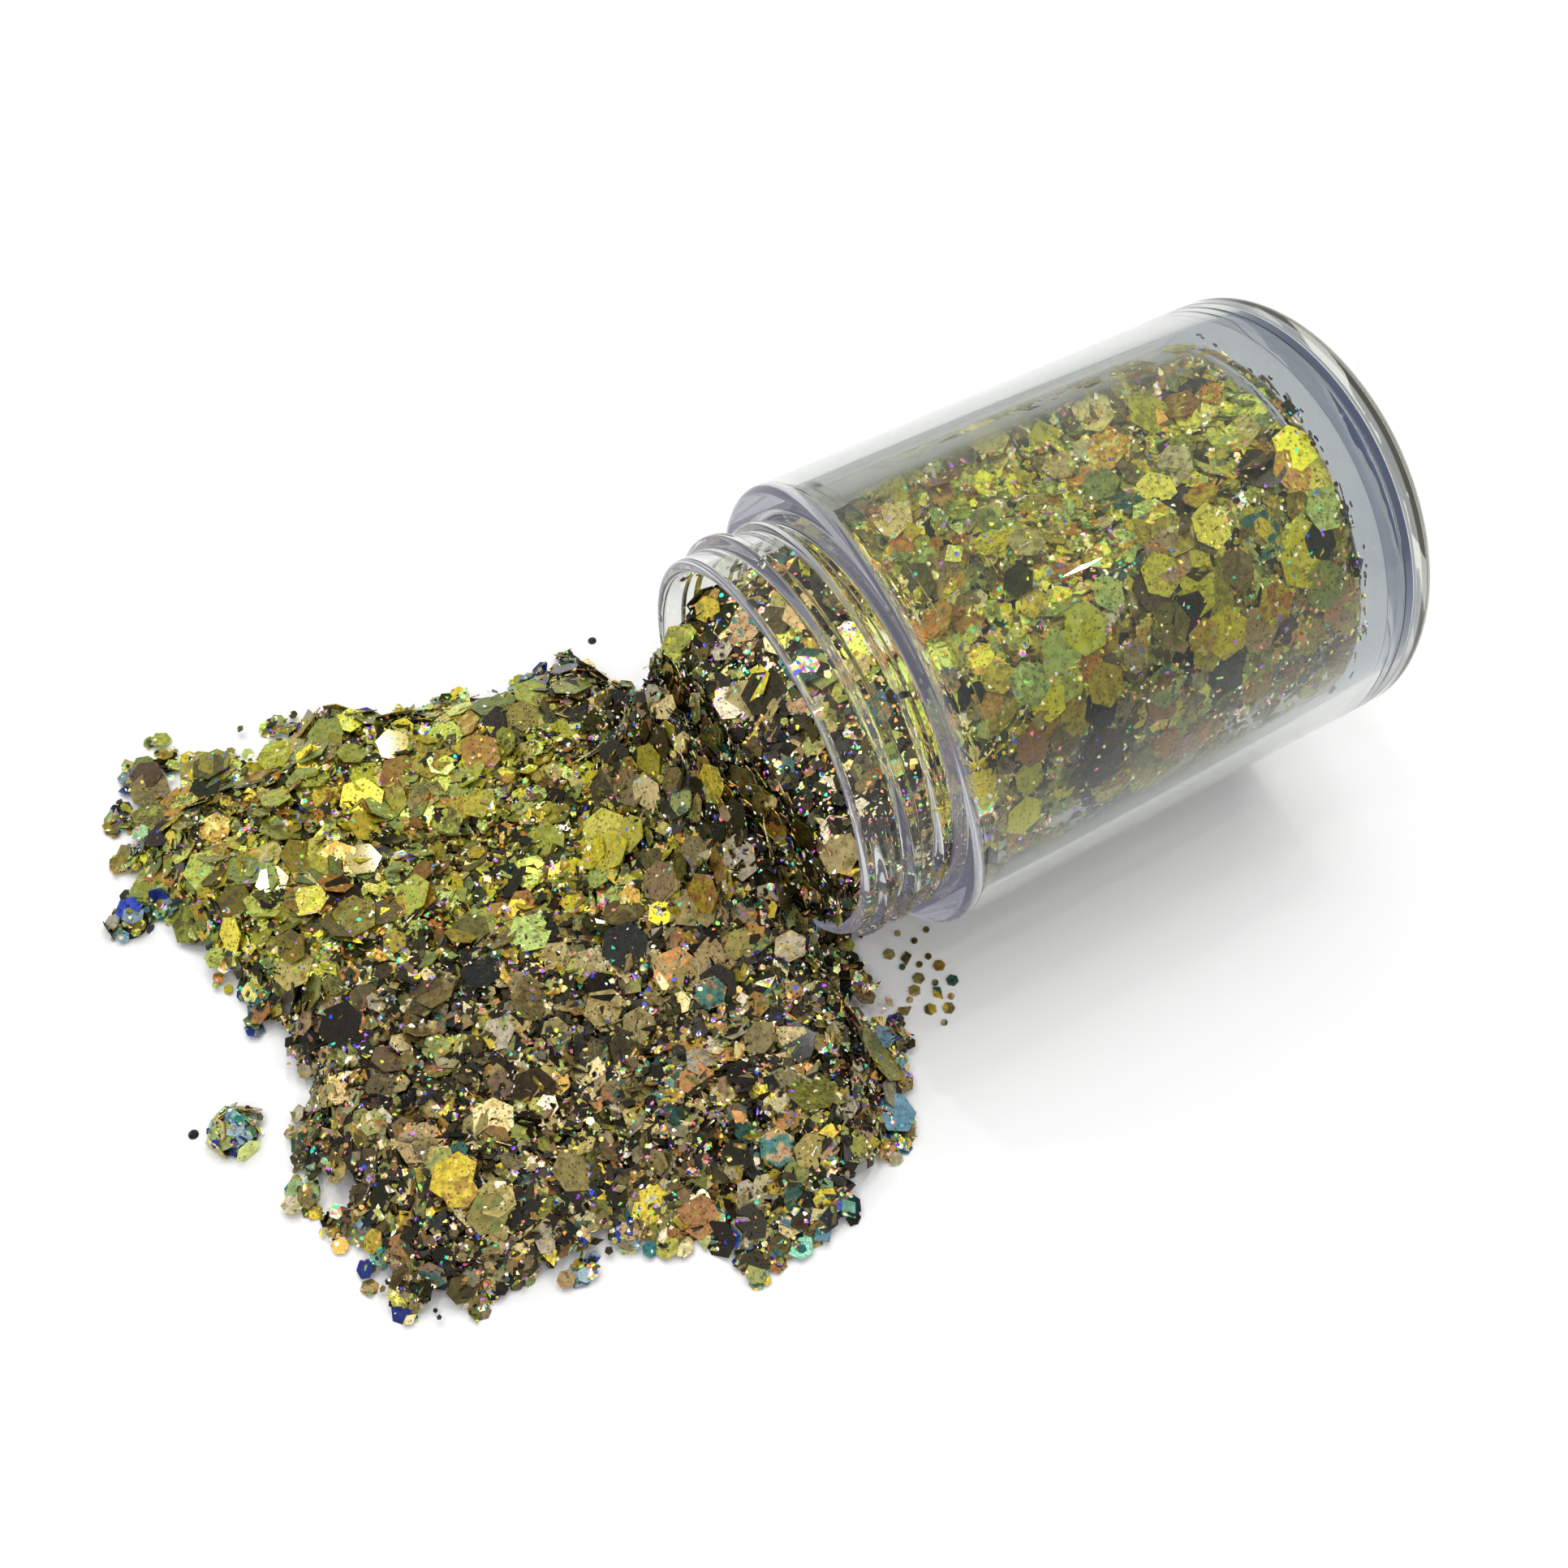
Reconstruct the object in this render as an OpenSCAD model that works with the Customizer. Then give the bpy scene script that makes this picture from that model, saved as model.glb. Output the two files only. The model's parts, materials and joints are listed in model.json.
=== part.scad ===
// Double-walled sample vial lying on its side, with the gold flakes that have run out of its mouth.
// Millimetres, +Z up. The table is z = 0 and the origin is the middle of the whole layout on the table.
// The vial lies along X with its mouth towards -X.

/* [Vial] */
// Outside diameter of the shell
shell_d = 28; // [26:0.5:32]
// Length from the lip to the base
vial_len = 38.6; // [37:0.1:44]
// Wall of the outer shell
shell_wall = 1.5; // [1.2:0.1:1.6]
// Wall of the inner cup and its neck
cup_wall = 1; // [0.8:0.05:1.1]
// Air gap between the cup and the shell
wall_gap = 0.5; // [0.4:0.05:0.7]

/* [Neck] */
// Length of the neck from the lip to the shoulder
neck_len = 5.8; // [5.4:0.1:7]
// Thickness of the shoulder flange
flange_t = 1.2; // [1:0.1:1.6]
// How far the thread stands out from the neck
thread_h = 0.6; // [0.4:0.05:0.7]
// Thread pitch
thread_pitch = 1.75; // [1.6:0.05:1.9]
// Number of thread turns
thread_turns = 1.35; // [1:0.05:1.5]

/* [Base] */
// Thickness of the base disc outside the shell
base_t = 1.6; // [1.4:0.1:2.4]
// Space between the cup's floor and the base disc
floor_gap = 1.8; // [1.8:0.1:3]

/* [Sample] */
// Height of the sample above the table at the mouth
mouth_level = 13.3; // [11:0.1:14]
// Height of the sample above the table inside the vial
inner_level = 22.2; // [18:0.1:23.5]
// Height of the sample above the table at the cup's floor
end_level = 24; // [22:0.1:24.4]
// Slope that the loose flakes rest at, in degrees
repose = 31; // [26:1:36]
// Usual thickness of the spilled layer
layer_t = 3; // [2:0.1:4]

/* [Flakes] */
// Small hexagon flake, across its corners
small_hex_d = 0.8; // [0.5:0.1:1.2]
// Round dot flake diameter
dot_d = 0.4; // [0.3:0.05:0.5]
// Thickness of a flake
flake_t = 0.15; // [0.1:0.05:0.2]

/* [Hidden] */
$fn = 96;

shell_r = shell_d / 2;
shell_bore = shell_r - shell_wall;
cup_r = shell_bore - wall_gap;
cup_bore = cup_r - cup_wall;
lip_round = 0.3;
edge_round = 0.6;
seat_clear = 0.05;
neck_r = cup_r - 0.2;
shell_front = neck_len + flange_t;
shell_back = vial_len - base_t;
cup_floor_out = shell_back - floor_gap;
cup_floor_in = cup_floor_out - cup_wall;
cup_corner = 1.8;
spigot_len = 1.3;
bead_at = neck_len - 0.9;
bead_r = 0.42;
thread_start = 1.15;
thread_start_angle = 240;
thread_base_w = 1.3;
thread_crest_w = 0.5;
thread_root = 0.25;
thread_taper = 30;
thread_step = 8;
fill_clear = 0.05;

// The spill's outline on the table, measured from the point under the middle of the mouth.
outline = [[3.9, -5.6], [3.5, -8.4], [2.6, -10.8], [1.3, -12.2], [2.2, -14.9], [0.4, -16.4],
           [-1.8, -18.8], [-4.2, -21.2], [-7, -22.4], [-10.6, -21.4], [-13, -22], [-14, -18.4],
           [-17.6, -17], [-21.4, -16.6], [-24.6, -15.8], [-28, -15.4], [-31.2, -13.6],
           [-31.2, -9.6], [-32.4, -6], [-32.6, -2], [-30.6, 1.6], [-31.8, 4.4], [-30.6, 7.4],
           [-32.2, 11.4], [-32.8, 16.8], [-34, 21], [-33.4, 26.6], [-30.8, 30], [-27.4, 31],
           [-23, 29.8], [-18.6, 26.6], [-14.6, 24.8], [-10.6, 24], [-6, 23], [-2, 23.4],
           [-0.4, 20.4], [1.8, 17.6], [2.4, 13], [2.2, 8], [2.6, 3], [3.2, -1.6]];
heap_middle = [-4, 0];
heap_rings = 18;
heap_rays = 2 * len(outline);
heap_edge_t = 0.4;
heap_edge_run = 5;
swell = 0.2;
swell_turn = [17, 13];
stream_back = -0.9;
stream_cliff = 1;
stream_fall = 3.2;
stream_front = -9.5;
stream_front_run = 6.5;
stream_rear = 12.4;
stream_rear_run = 3;
under_neck_t = 0.9;

// Loose clumps beside the spill: place, radius and height.
clumps = [[[-35.2, 18], 1.1, 0.9], [[-34.8, 0.8], 1.3, 1.1], [[-36.9, 2.1], 0.3, 0.3],
          [[0.7, 24.2], 0.3, 0.3]];
clump_foot = 0.35;
clump_top = 0.5;
clump_lean = 0.2;

// Flakes lying by themselves on the table: place and turn in degrees.
hex_spots = [[[4.3, -11.6], 0], [[5, -11], 20], [[6.6, -10.9], 35], [[6.7, -12.2], 15],
             [[4.4, -13.2], 5], [[5.4, -13.7], 25], [[4.4, -8.6], 12]];
dot_spots = [[5.7, -7.6], [6.3, -8.6], [7.4, -8.3], [6.4, -10], [4.6, -9.8], [5.6, -10.2],
             [5.7, -11.8], [3.7, -12], [6, -13.1], [4.6, -14.4]];
shard_spots = [[[5.1, -9.4], 40], [[3, -12.5], 160], [[5.4, -12.5], 75]];
shard_shape = [[-0.45, -0.2], [0.35, -0.3], [0.5, 0.15], [-0.1, 0.3]];

// The middle of the whole layout, so that the origin lies under it.
left_end = min([for (c = clumps) c[0][0] - c[1]]);
front_end = min([for (p = outline) p[1]]);
rear_end = max([for (p = outline) p[1]]);
mouth = [-(left_end + vial_len) / 2, -(front_end + rear_end) / 2];

// A smooth step from 0 to 1.
function ease(t) =
    let (u = min(1, max(0, t)))
    u * u * (3 - 2 * u);

// A quarter turn of points about a centre, for rounded edges in a profile.
function quarter(centre, radius, from, steps = 8) =
    [for (i = [0:steps]) centre + radius * [cos(from + 90 * i / steps), sin(from + 90 * i / steps)]];

// Lays a part that was drawn with its mouth at z = 0 and its base up down along X.
module lay_down() {
    translate([mouth[0], mouth[1], shell_r])
        rotate([0, 90, 0])
            children();
}

// Puts a part that was drawn about the point under the mouth into the layout.
module on_table() {
    translate([mouth[0], mouth[1], 0])
        children();
}

// Clear outer tube. Its front rim carries the flange and its back rim the base disc.
module outer_shell() {
    color([0.86, 0.88, 0.87, 0.35])
        lay_down()
            translate([0, 0, shell_front])
                difference() {
                    cylinder(h = shell_back - shell_front, r = shell_r);
                    translate([0, 0, -1])
                        cylinder(h = shell_back - shell_front + 2, r = shell_bore);
                }
}

// Side view of the cup's moulding, without its thread.
module cup_profile() {
    polygon(concat(
        [[cup_bore, cup_floor_in - cup_corner + cup_wall]],
        [[cup_bore, lip_round]],
        quarter([cup_bore + lip_round, lip_round], lip_round, 180),
        quarter([neck_r - lip_round, lip_round], lip_round, 270),
        [for (a = [-90:15:90]) [neck_r + bead_r * cos(a), bead_at + bead_r * sin(a)]],
        [[neck_r, neck_len]],
        quarter([shell_r - edge_round, neck_len + edge_round], edge_round, 270),
        [[shell_r, shell_front]],
        [[shell_bore - seat_clear, shell_front]],
        [[shell_bore - seat_clear, shell_front + spigot_len]],
        [[cup_r, shell_front + spigot_len]],
        quarter([cup_r - cup_corner, cup_floor_out - cup_corner], cup_corner, 0),
        [[0, cup_floor_out]],
        [[0, cup_floor_in]],
        [for (i = [8:-1:1]) [cup_bore - cup_corner + cup_wall, cup_floor_in - cup_corner + cup_wall]
                            + (cup_corner - cup_wall) * [cos(90 * i / 8), sin(90 * i / 8)]]));
}

// Height of the thread at an angle, so that both its ends fade into the neck.
function thread_rise(a, last) = thread_h * min(1, a / thread_taper, (last - a) / thread_taper);

// Helical ridge round the neck, with a trapezoid section.
module neck_thread() {
    last = 360 * thread_turns;
    count = floor(last / thread_step);
    function section(i) =
        let (a = last * i / count,
             z = thread_start + thread_pitch * a / 360,
             crest = neck_r + 0.02 + max(0, thread_rise(a, last)),
             root = neck_r - thread_root,
             turn = [cos(thread_start_angle + a), sin(thread_start_angle + a)])
        [for (p = [[root, -thread_base_w / 2], [crest, -thread_crest_w / 2],
                   [crest, thread_crest_w / 2], [root, thread_base_w / 2]])
            [p[0] * turn[0], p[0] * turn[1], z + p[1]]];
    points = [for (i = [0:count]) each section(i)];
    sides = [for (i = [0:count - 1]) for (k = [0:3])
                [4 * i + k, 4 * i + (k + 1) % 4, 4 * i + 4 + (k + 1) % 4, 4 * i + 4 + k]];
    polyhedron(points, concat(sides, [[3, 2, 1, 0]], [[for (k = [0:3]) 4 * count + k]]), convexity = 4);
}

// Inner cup: lip, threaded neck, shoulder flange and round-cornered floor in one moulding.
module inner_cup() {
    color([0.8, 0.82, 0.84, 0.4])
        lay_down()
            union() {
                rotate_extrude()
                    cup_profile();
                neck_thread();
            }
}

// Base disc with the spigot that seats it in the shell.
module base_disc() {
    color([0.82, 0.83, 0.8, 0.45])
        lay_down()
            rotate_extrude()
                polygon(concat(
                    [[0, vial_len]],
                    [[0, shell_back - spigot_len]],
                    [[shell_bore - seat_clear, shell_back - spigot_len]],
                    [[shell_bore - seat_clear, shell_back]],
                    [[shell_r, shell_back]],
                    quarter([shell_r - edge_round, vial_len - edge_round], edge_round, 0)));
}

// Flakes still in the vial: they slope up from the mouth, then lie nearly level.
module sample_fill() {
    slope_len = (inner_level - mouth_level) / tan(repose);
    fill_r = cup_bore - fill_clear;
    fill_corner = cup_corner - cup_wall;
    fill_end = cup_floor_in - fill_clear;
    color([0.62, 0.53, 0.2])
        intersection() {
            lay_down()
                rotate_extrude()
                    polygon(concat(
                        [[0, 0.1]],
                        [[fill_r, 0.1]],
                        quarter([fill_r - fill_corner, fill_end - fill_corner], fill_corner, 0),
                        [[0, fill_end]]));
            on_table()
                translate([0, shell_r, 0])
                    rotate([90, 0, 0])
                        linear_extrude(2 * shell_r)
                            polygon([[0, 0], [0, mouth_level], [slope_len, inner_level],
                                     [cup_floor_in, end_level], [cup_floor_in, 0]]);
        }
}

// Height of the steep, hollow-faced slope of flakes that stands in front of the mouth.
function stream_z(x, y) =
    let (run = max(0, stream_back - x))
    mouth_level * exp(-run / stream_fall)
    * ease(run / stream_cliff)
    * ease((y - stream_front) / stream_front_run)
    * ease((stream_rear - y) / stream_rear_run);

// Height of the spread layer, with low swells, by its distance from the outline.
function layer_z(x, y, edge) =
    let (body = heap_edge_t + (layer_t - heap_edge_t) * ease(edge / heap_edge_run),
         wave = 1 + swell * sin(swell_turn[0] * x) * cos(swell_turn[1] * y))
    x > stream_back ? min(under_neck_t, body) : body * wave;

// A point on the outline, with one more between each pair of corners.
function outline_point(j) =
    let (a = outline[floor(j / 2) % len(outline)],
         b = outline[ceil(j / 2) % len(outline)])
    (a + b) / 2;

// Spilled heap: rings of points from the middle out to the outline, over a flat underside.
module spill_heap() {
    function ring_point(k, j) =
        let (t = k / heap_rings,
             reach = outline_point(j) - heap_middle,
             p = heap_middle + t * reach,
             edge = (1 - t) * norm(reach))
        [p[0], p[1], layer_z(p[0], p[1], edge) + stream_z(p[0], p[1])];
    top = concat([ring_point(0, 0)],
                 [for (k = [1:heap_rings]) for (j = [0:heap_rays - 1]) ring_point(k, j)]);
    foot = [for (j = [0:heap_rays - 1]) [outline_point(j)[0], outline_point(j)[1], 0]];
    foot_start = len(top);
    last_ring = foot_start - heap_rays;
    cap = [for (j = [0:heap_rays - 1]) [0, 1 + j, 1 + (j + 1) % heap_rays]];
    bands = [for (k = [0:heap_rings - 2]) for (j = [0:heap_rays - 1])
                let (a = 1 + k * heap_rays + j,
                     b = 1 + k * heap_rays + (j + 1) % heap_rays)
                each [[a, a + heap_rays, b + heap_rays], [a, b + heap_rays, b]]];
    rim = [for (j = [0:heap_rays - 1])
              let (a = last_ring + j,
                   b = last_ring + (j + 1) % heap_rays,
                   c = foot_start + j,
                   d = foot_start + (j + 1) % heap_rays)
              each [[a, c, d], [a, d, b]]];
    under = [[for (j = [heap_rays - 1:-1:0]) foot_start + j]];
    color([0.58, 0.5, 0.2])
        on_table()
            polyhedron(concat(top, foot), concat(cap, bands, rim, under), convexity = 6);
}

// Small clumps of clinging flakes that lie apart from the heap.
module loose_clumps() {
    color([0.5, 0.48, 0.3])
        on_table()
            for (c = clumps)
                translate([c[0][0], c[0][1], 0])
                    hull() {
                        cylinder(h = clump_foot * c[2], r = c[1], $fn = 24);
                        translate([clump_lean * c[1], 0, 0])
                            cylinder(h = c[2], r = clump_top * c[1], $fn = 24);
                    }
}

// Small hexagon flakes lying by themselves.
module stray_hexes() {
    color([0.7, 0.5, 0.3])
        on_table()
            for (s = hex_spots)
                translate([s[0][0], s[0][1], 0])
                    rotate([0, 0, s[1]])
                        cylinder(h = flake_t, d = small_hex_d, $fn = 6);
}

// Round dot flakes lying by themselves.
module stray_dots() {
    color([0.3, 0.5, 0.5])
        on_table()
            for (s = dot_spots)
                translate([s[0], s[1], 0])
                    cylinder(h = flake_t, d = dot_d, $fn = 24);
}

// Broken shards lying by themselves.
module stray_shards() {
    color([0.75, 0.7, 0.5])
        on_table()
            for (s = shard_spots)
                translate([s[0][0], s[0][1], 0])
                    rotate([0, 0, s[1]])
                        linear_extrude(flake_t)
                            polygon(shard_shape);
}

outer_shell();
inner_cup();
base_disc();
sample_fill();
spill_heap();
loose_clumps();
stray_hexes();
stray_dots();
stray_shards();
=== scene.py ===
"""Looks for a clear double-walled sample vial that lies on its side with gold flakes run out of its mouth."""

import json
import math

import bmesh
import bpy
import numpy as np
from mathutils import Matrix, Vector, noise
from mathutils.bvhtree import BVHTree


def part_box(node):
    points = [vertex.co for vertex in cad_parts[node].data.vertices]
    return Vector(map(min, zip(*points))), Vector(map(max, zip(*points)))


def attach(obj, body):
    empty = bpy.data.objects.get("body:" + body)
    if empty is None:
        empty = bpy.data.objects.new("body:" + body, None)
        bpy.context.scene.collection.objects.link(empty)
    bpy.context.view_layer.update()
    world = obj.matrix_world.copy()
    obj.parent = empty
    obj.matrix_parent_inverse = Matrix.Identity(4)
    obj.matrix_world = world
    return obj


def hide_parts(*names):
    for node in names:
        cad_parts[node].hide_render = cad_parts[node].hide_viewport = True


bl_info = {
    "name": "Sample Vial with Spilled Flakes",
    "version": (1, 0, 0),
    "blender": (4, 5, 0),
    "location": "View3D > Sidebar > Sample Vial",
    "description": "Builds the vial's clear mouldings, the flakes in it and the flakes spilled from it",
    "category": "Object",
}

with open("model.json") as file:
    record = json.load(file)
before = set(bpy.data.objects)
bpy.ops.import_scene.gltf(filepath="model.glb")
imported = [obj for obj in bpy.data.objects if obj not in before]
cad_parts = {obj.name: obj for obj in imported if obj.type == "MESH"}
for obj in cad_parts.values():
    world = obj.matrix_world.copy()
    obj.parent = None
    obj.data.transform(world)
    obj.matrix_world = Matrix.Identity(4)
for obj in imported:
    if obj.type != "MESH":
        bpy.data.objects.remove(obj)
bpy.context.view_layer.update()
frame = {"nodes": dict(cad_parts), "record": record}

MM = 0.001
TURN = 2 * math.pi
PER_SQUARE_MM = 1e6
TOUCH = 1e-7

shell_low, shell_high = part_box("outer_shell")
cup_low, cup_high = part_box("inner_cup")
base_low, base_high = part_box("base_disc")
fill_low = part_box("sample_fill")[0]
heap_low, heap_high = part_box("spill_heap")

LIP_X = cup_low.x
CUP_END_X = cup_high.x
SHELL_FRONT_X = shell_low.x
SHELL_BACK_X = shell_high.x
BASE_IN_X = base_low.x
BASE_END_X = base_high.x
AXIS_Y = (shell_low.y + shell_high.y) / 2
AXIS_Z = (shell_low.z + shell_high.z) / 2
SHELL_R = (shell_high.z - shell_low.z) / 2
MOUTH_FOOT = Vector((LIP_X, AXIS_Y, 0))
THREAD_R = next(m for m in frame["record"]["mounts"] if m["name"] == "neck_thread")["dims"]["r_mm"] * MM


def ease(t):
    """A smooth step from 0 to 1."""
    t = min(1.0, max(0.0, t))
    return t * t * (3 - 2 * t)


def paint(red, green, blue):
    """A colour from its 0 to 255 values, as the linear numbers that a node takes."""
    parts = [c / 255 for c in (red, green, blue)]
    return [c / 12.92 if c <= 0.04045 else ((c + 0.055) / 1.055) ** 2.4 for c in parts] + [1.0]


# ---------------------------------------------------------------- settings


def length(name, description, default):
    metres = default * MM
    return bpy.props.FloatProperty(
        name=name, description=description, default=metres, subtype="DISTANCE", unit="LENGTH", precision=5
    )


def colour(name, description, default):
    return bpy.props.FloatVectorProperty(
        name=name, description=description, default=paint(*default)[:3], subtype="COLOR", min=0, max=1
    )


def number(name, description, default):
    return bpy.props.FloatProperty(name=name, description=description, default=default)


class VialSettings(bpy.types.PropertyGroup):
    """Sizes and tints of the three clear mouldings, and the colours of their painted glow."""

    shell_wall: length("Shell Wall", "Thickness of the outer tube", 1.5)
    wall_gap: length("Wall Gap", "Air between the tube and the cup", 0.5)
    cup_wall: length("Cup Wall", "Thickness of the cup and its neck", 1.0)
    cup_corner: length("Cup Corner", "Outer radius where the cup's wall meets its floor", 1.8)
    flange: length("Flange", "Thickness of the shoulder flange", 1.2)
    spigot: length("Spigot", "How far the cup and the disc plug into the tube", 1.3)
    thread_pitch: length("Thread Pitch", "Advance of the thread in one turn", 1.75)
    thread_turns: number("Thread Turns", "Number of turns of the thread", 1.35)
    shell_tint: colour("Shell Tint", "Colour of light that has passed the tube", (219, 222, 218))
    cup_tint: colour("Cup Tint", "Colour of light that has passed the cup", (238, 240, 235))
    base_tint: colour("Base Tint", "Colour of light that has passed the base disc", (222, 224, 216))
    # The next four colours are painted glow that the clear plastic emits: at the rims that face the mouth it
    # stands in for light that the plastic carries there, in the disc's inner face for its blue-violet
    # crescent, in the middle of the base's edge for floor light refracted through it, and in the outermost
    # edge for its olive-grey ring.
    edge_glow: colour("Edge Tint", "Colour that gathers in the rims that face the mouth", (104, 104, 118))
    disc_glow: colour("Disc Tint", "Colour that gathers in the disc's inner face", (92, 104, 138))
    pale_glow: colour("Pale Tint", "Colour that gathers in the middle of the base's edge", (172, 175, 174))
    rim_glow: colour("Rim Tint", "Colour that gathers in the base's outermost edge", (88, 86, 74))


class FlakeSettings(bpy.types.PropertyGroup):
    """Sizes and amounts of the flakes."""

    large: length("Large Flake", "Large hexagon flake, across its corners", 2.5)
    medium: length("Medium Flake", "Medium hexagon flake, across its corners", 1.45)
    small: length("Small Flake", "Small hexagon flake, across its corners", 0.85)
    dot: length("Dot", "Dot flake, across", 0.42)
    film: length("Film", "Thickness of a flake", 0.07)
    crowd: number("Crowd", "Multiplies how many flakes lie on each surface", 1.0)
    seed: bpy.props.IntProperty(name="Seed", description="Start of every random draw", default=7)


class StageSettings(bpy.types.PropertyGroup):
    """The floor, the lights and the camera."""

    floor: colour("Floor", "Colour of the floor", (240, 240, 240))
    backdrop: colour("Backdrop", "Colour that the camera sees past the floor", (246, 246, 246))
    room: number("Room Light", "Strength of the even light from all round", 0.54)
    key: number("Key Light", "Strength of the soft light from above and behind", 1.05)
    key_spread: bpy.props.FloatProperty(
        name="Key Spread", description="How wide the soft light is", default=math.radians(48), subtype="ANGLE"
    )
    spark: number("Spark Lamps", "Power of each small lamp, in watts", 0.095)
    lens: bpy.props.FloatProperty(
        name="Lens", description="Focal length on a 36 mm sensor", default=41.3, min=1
    )
    eye: bpy.props.FloatVectorProperty(
        name="Eye",
        description="Where the camera stands, from the point under the vial's mouth",
        default=(-0.03197, -0.05598, 0.09560),
        subtype="TRANSLATION",
        unit="LENGTH",
    )
    aim: bpy.props.FloatVectorProperty(
        name="Aim",
        description="Where the camera looks, from the point under the vial's mouth",
        default=(0.00022, -0.00289, 0.014),
        subtype="TRANSLATION",
        unit="LENGTH",
    )


def vial():
    return bpy.context.scene.vial_settings


def flakes():
    return bpy.context.scene.flake_settings


# ---------------------------------------------------------------- node helpers


class Nodes:
    """Adds nodes to a tree. A value given for an input is set, and a socket given for one is linked."""

    def __init__(self, tree):
        self.tree = tree

    def add(self, kind, inputs=None, **options):
        node = self.tree.nodes.new(kind)
        for name, value in options.items():
            setattr(node, name, value)
        for key, value in (inputs or {}).items():
            if isinstance(value, bpy.types.NodeSocket):
                self.tree.links.new(value, node.inputs[key])
            else:
                node.inputs[key].default_value = value
        return node

    def math(self, operation, *values):
        return self.add("ShaderNodeMath", dict(enumerate(values)), operation=operation).outputs[0]

    def times(self, first, second):
        return self.math("MULTIPLY", first, second)

    def one_minus(self, value):
        return self.math("SUBTRACT", 1.0, value)

    def redraw(self, value, stretch):
        """A fresh number from 0 to 1 out of one that is used already."""
        return self.math("FRACT", self.times(value, stretch))

    def place(self):
        return self.add("ShaderNodeTexCoord").outputs["Object"]

    def noise(self, place, scale, detail, **inputs):
        inputs = {"Vector": place, "Scale": scale, "Detail": detail, **inputs}
        return self.add("ShaderNodeTexNoise", inputs).outputs["Fac"]

    def attribute(self, name):
        return self.add("ShaderNodeAttribute", attribute_name=name).outputs["Fac"]

    def range(self, value, low, high, to_low=0.0, to_high=1.0):
        inputs = {"Value": value, "From Min": low, "From Max": high, "To Min": to_low, "To Max": to_high}
        return self.add("ShaderNodeMapRange", inputs).outputs["Result"]

    def blend(self, factor, first, second, mode="MIX"):
        inputs = {0: factor, 6: first, 7: second}
        return self.add("ShaderNodeMix", inputs, data_type="RGBA", blend_type=mode).outputs[2]

    def swatches(self, value, colours):
        """Picks one of the colours by a value from 0 to 1, each for an equal share."""
        ramp = self.add("ShaderNodeValToRGB", {"Fac": value})
        ramp.color_ramp.interpolation = "CONSTANT"
        stops = ramp.color_ramp.elements
        while len(stops) < len(colours):
            stops.new(0.5)
        for index, picked in enumerate(colours):
            stops[index].position = index / len(colours)
        for index, picked in enumerate(colours):
            stops[index].color = paint(*picked)
        return ramp.outputs["Color"]


def shader_group(name, inputs, outputs):
    """A new shader node group: its nodes, its input sockets and a function that feeds an output."""
    tree = bpy.data.node_groups.new(name, "ShaderNodeTree")
    for label, kind, default in inputs:
        socket = tree.interface.new_socket(name=label, in_out="INPUT", socket_type=kind)
        socket.default_value = default
    for label, kind in outputs:
        tree.interface.new_socket(name=label, in_out="OUTPUT", socket_type=kind)
    nodes = Nodes(tree)
    start, end = nodes.add("NodeGroupInput"), nodes.add("NodeGroupOutput")
    return nodes, start.outputs, lambda label, socket: tree.links.new(socket, end.inputs[label])


def new_material(name):
    """A material with an empty tree. Returns it, its nodes and its output node."""
    material = bpy.data.materials.new(name)
    material.use_nodes = True
    material.node_tree.nodes.clear()
    nodes = Nodes(material.node_tree)
    return material, nodes, nodes.add("ShaderNodeOutputMaterial")


def surface_marks():
    """Group: faint moulding ripples along the vial, fine rubs and a few smudges on clear plastic."""
    if "Moulding Marks" in bpy.data.node_groups:
        return bpy.data.node_groups["Moulding Marks"]
    nodes, given, give = shader_group(
        "Moulding Marks",
        [("Ripple Scale", "NodeSocketFloat", 160.0), ("Rub Amount", "NodeSocketFloat", 0.02)],
        [("Roughness", "NodeSocketFloat"), ("Height", "NodeSocketFloat")],
    )
    place = nodes.place()
    along = nodes.add("ShaderNodeMapping", {"Vector": place, "Scale": (0.06, 1.0, 1.0)}).outputs[0]
    ripple = nodes.noise(along, given["Ripple Scale"], 2.0, Roughness=0.45)
    rubs = nodes.noise(along, 2600.0, 3.0)
    smudge = nodes.noise(place, 220.0, 2.0)
    worn = nodes.times(nodes.range(rubs, 0.58, 0.75), nodes.range(smudge, 0.45, 0.65))
    give("Roughness", nodes.times(worn, given["Rub Amount"]))
    give("Height", nodes.math("ADD", ripple, nodes.times(rubs, 0.012)))
    return nodes.tree


GLOW_STREAK_SCALE = (2600.0, 130.0, 130.0)
DIMMED_UNDER_GLOW = 0.3
DAMPED = (0.55, 0.55, 0.55, 1.0)
LAMP_PASS = (0.92, 0.92, 0.91, 1.0)


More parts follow.
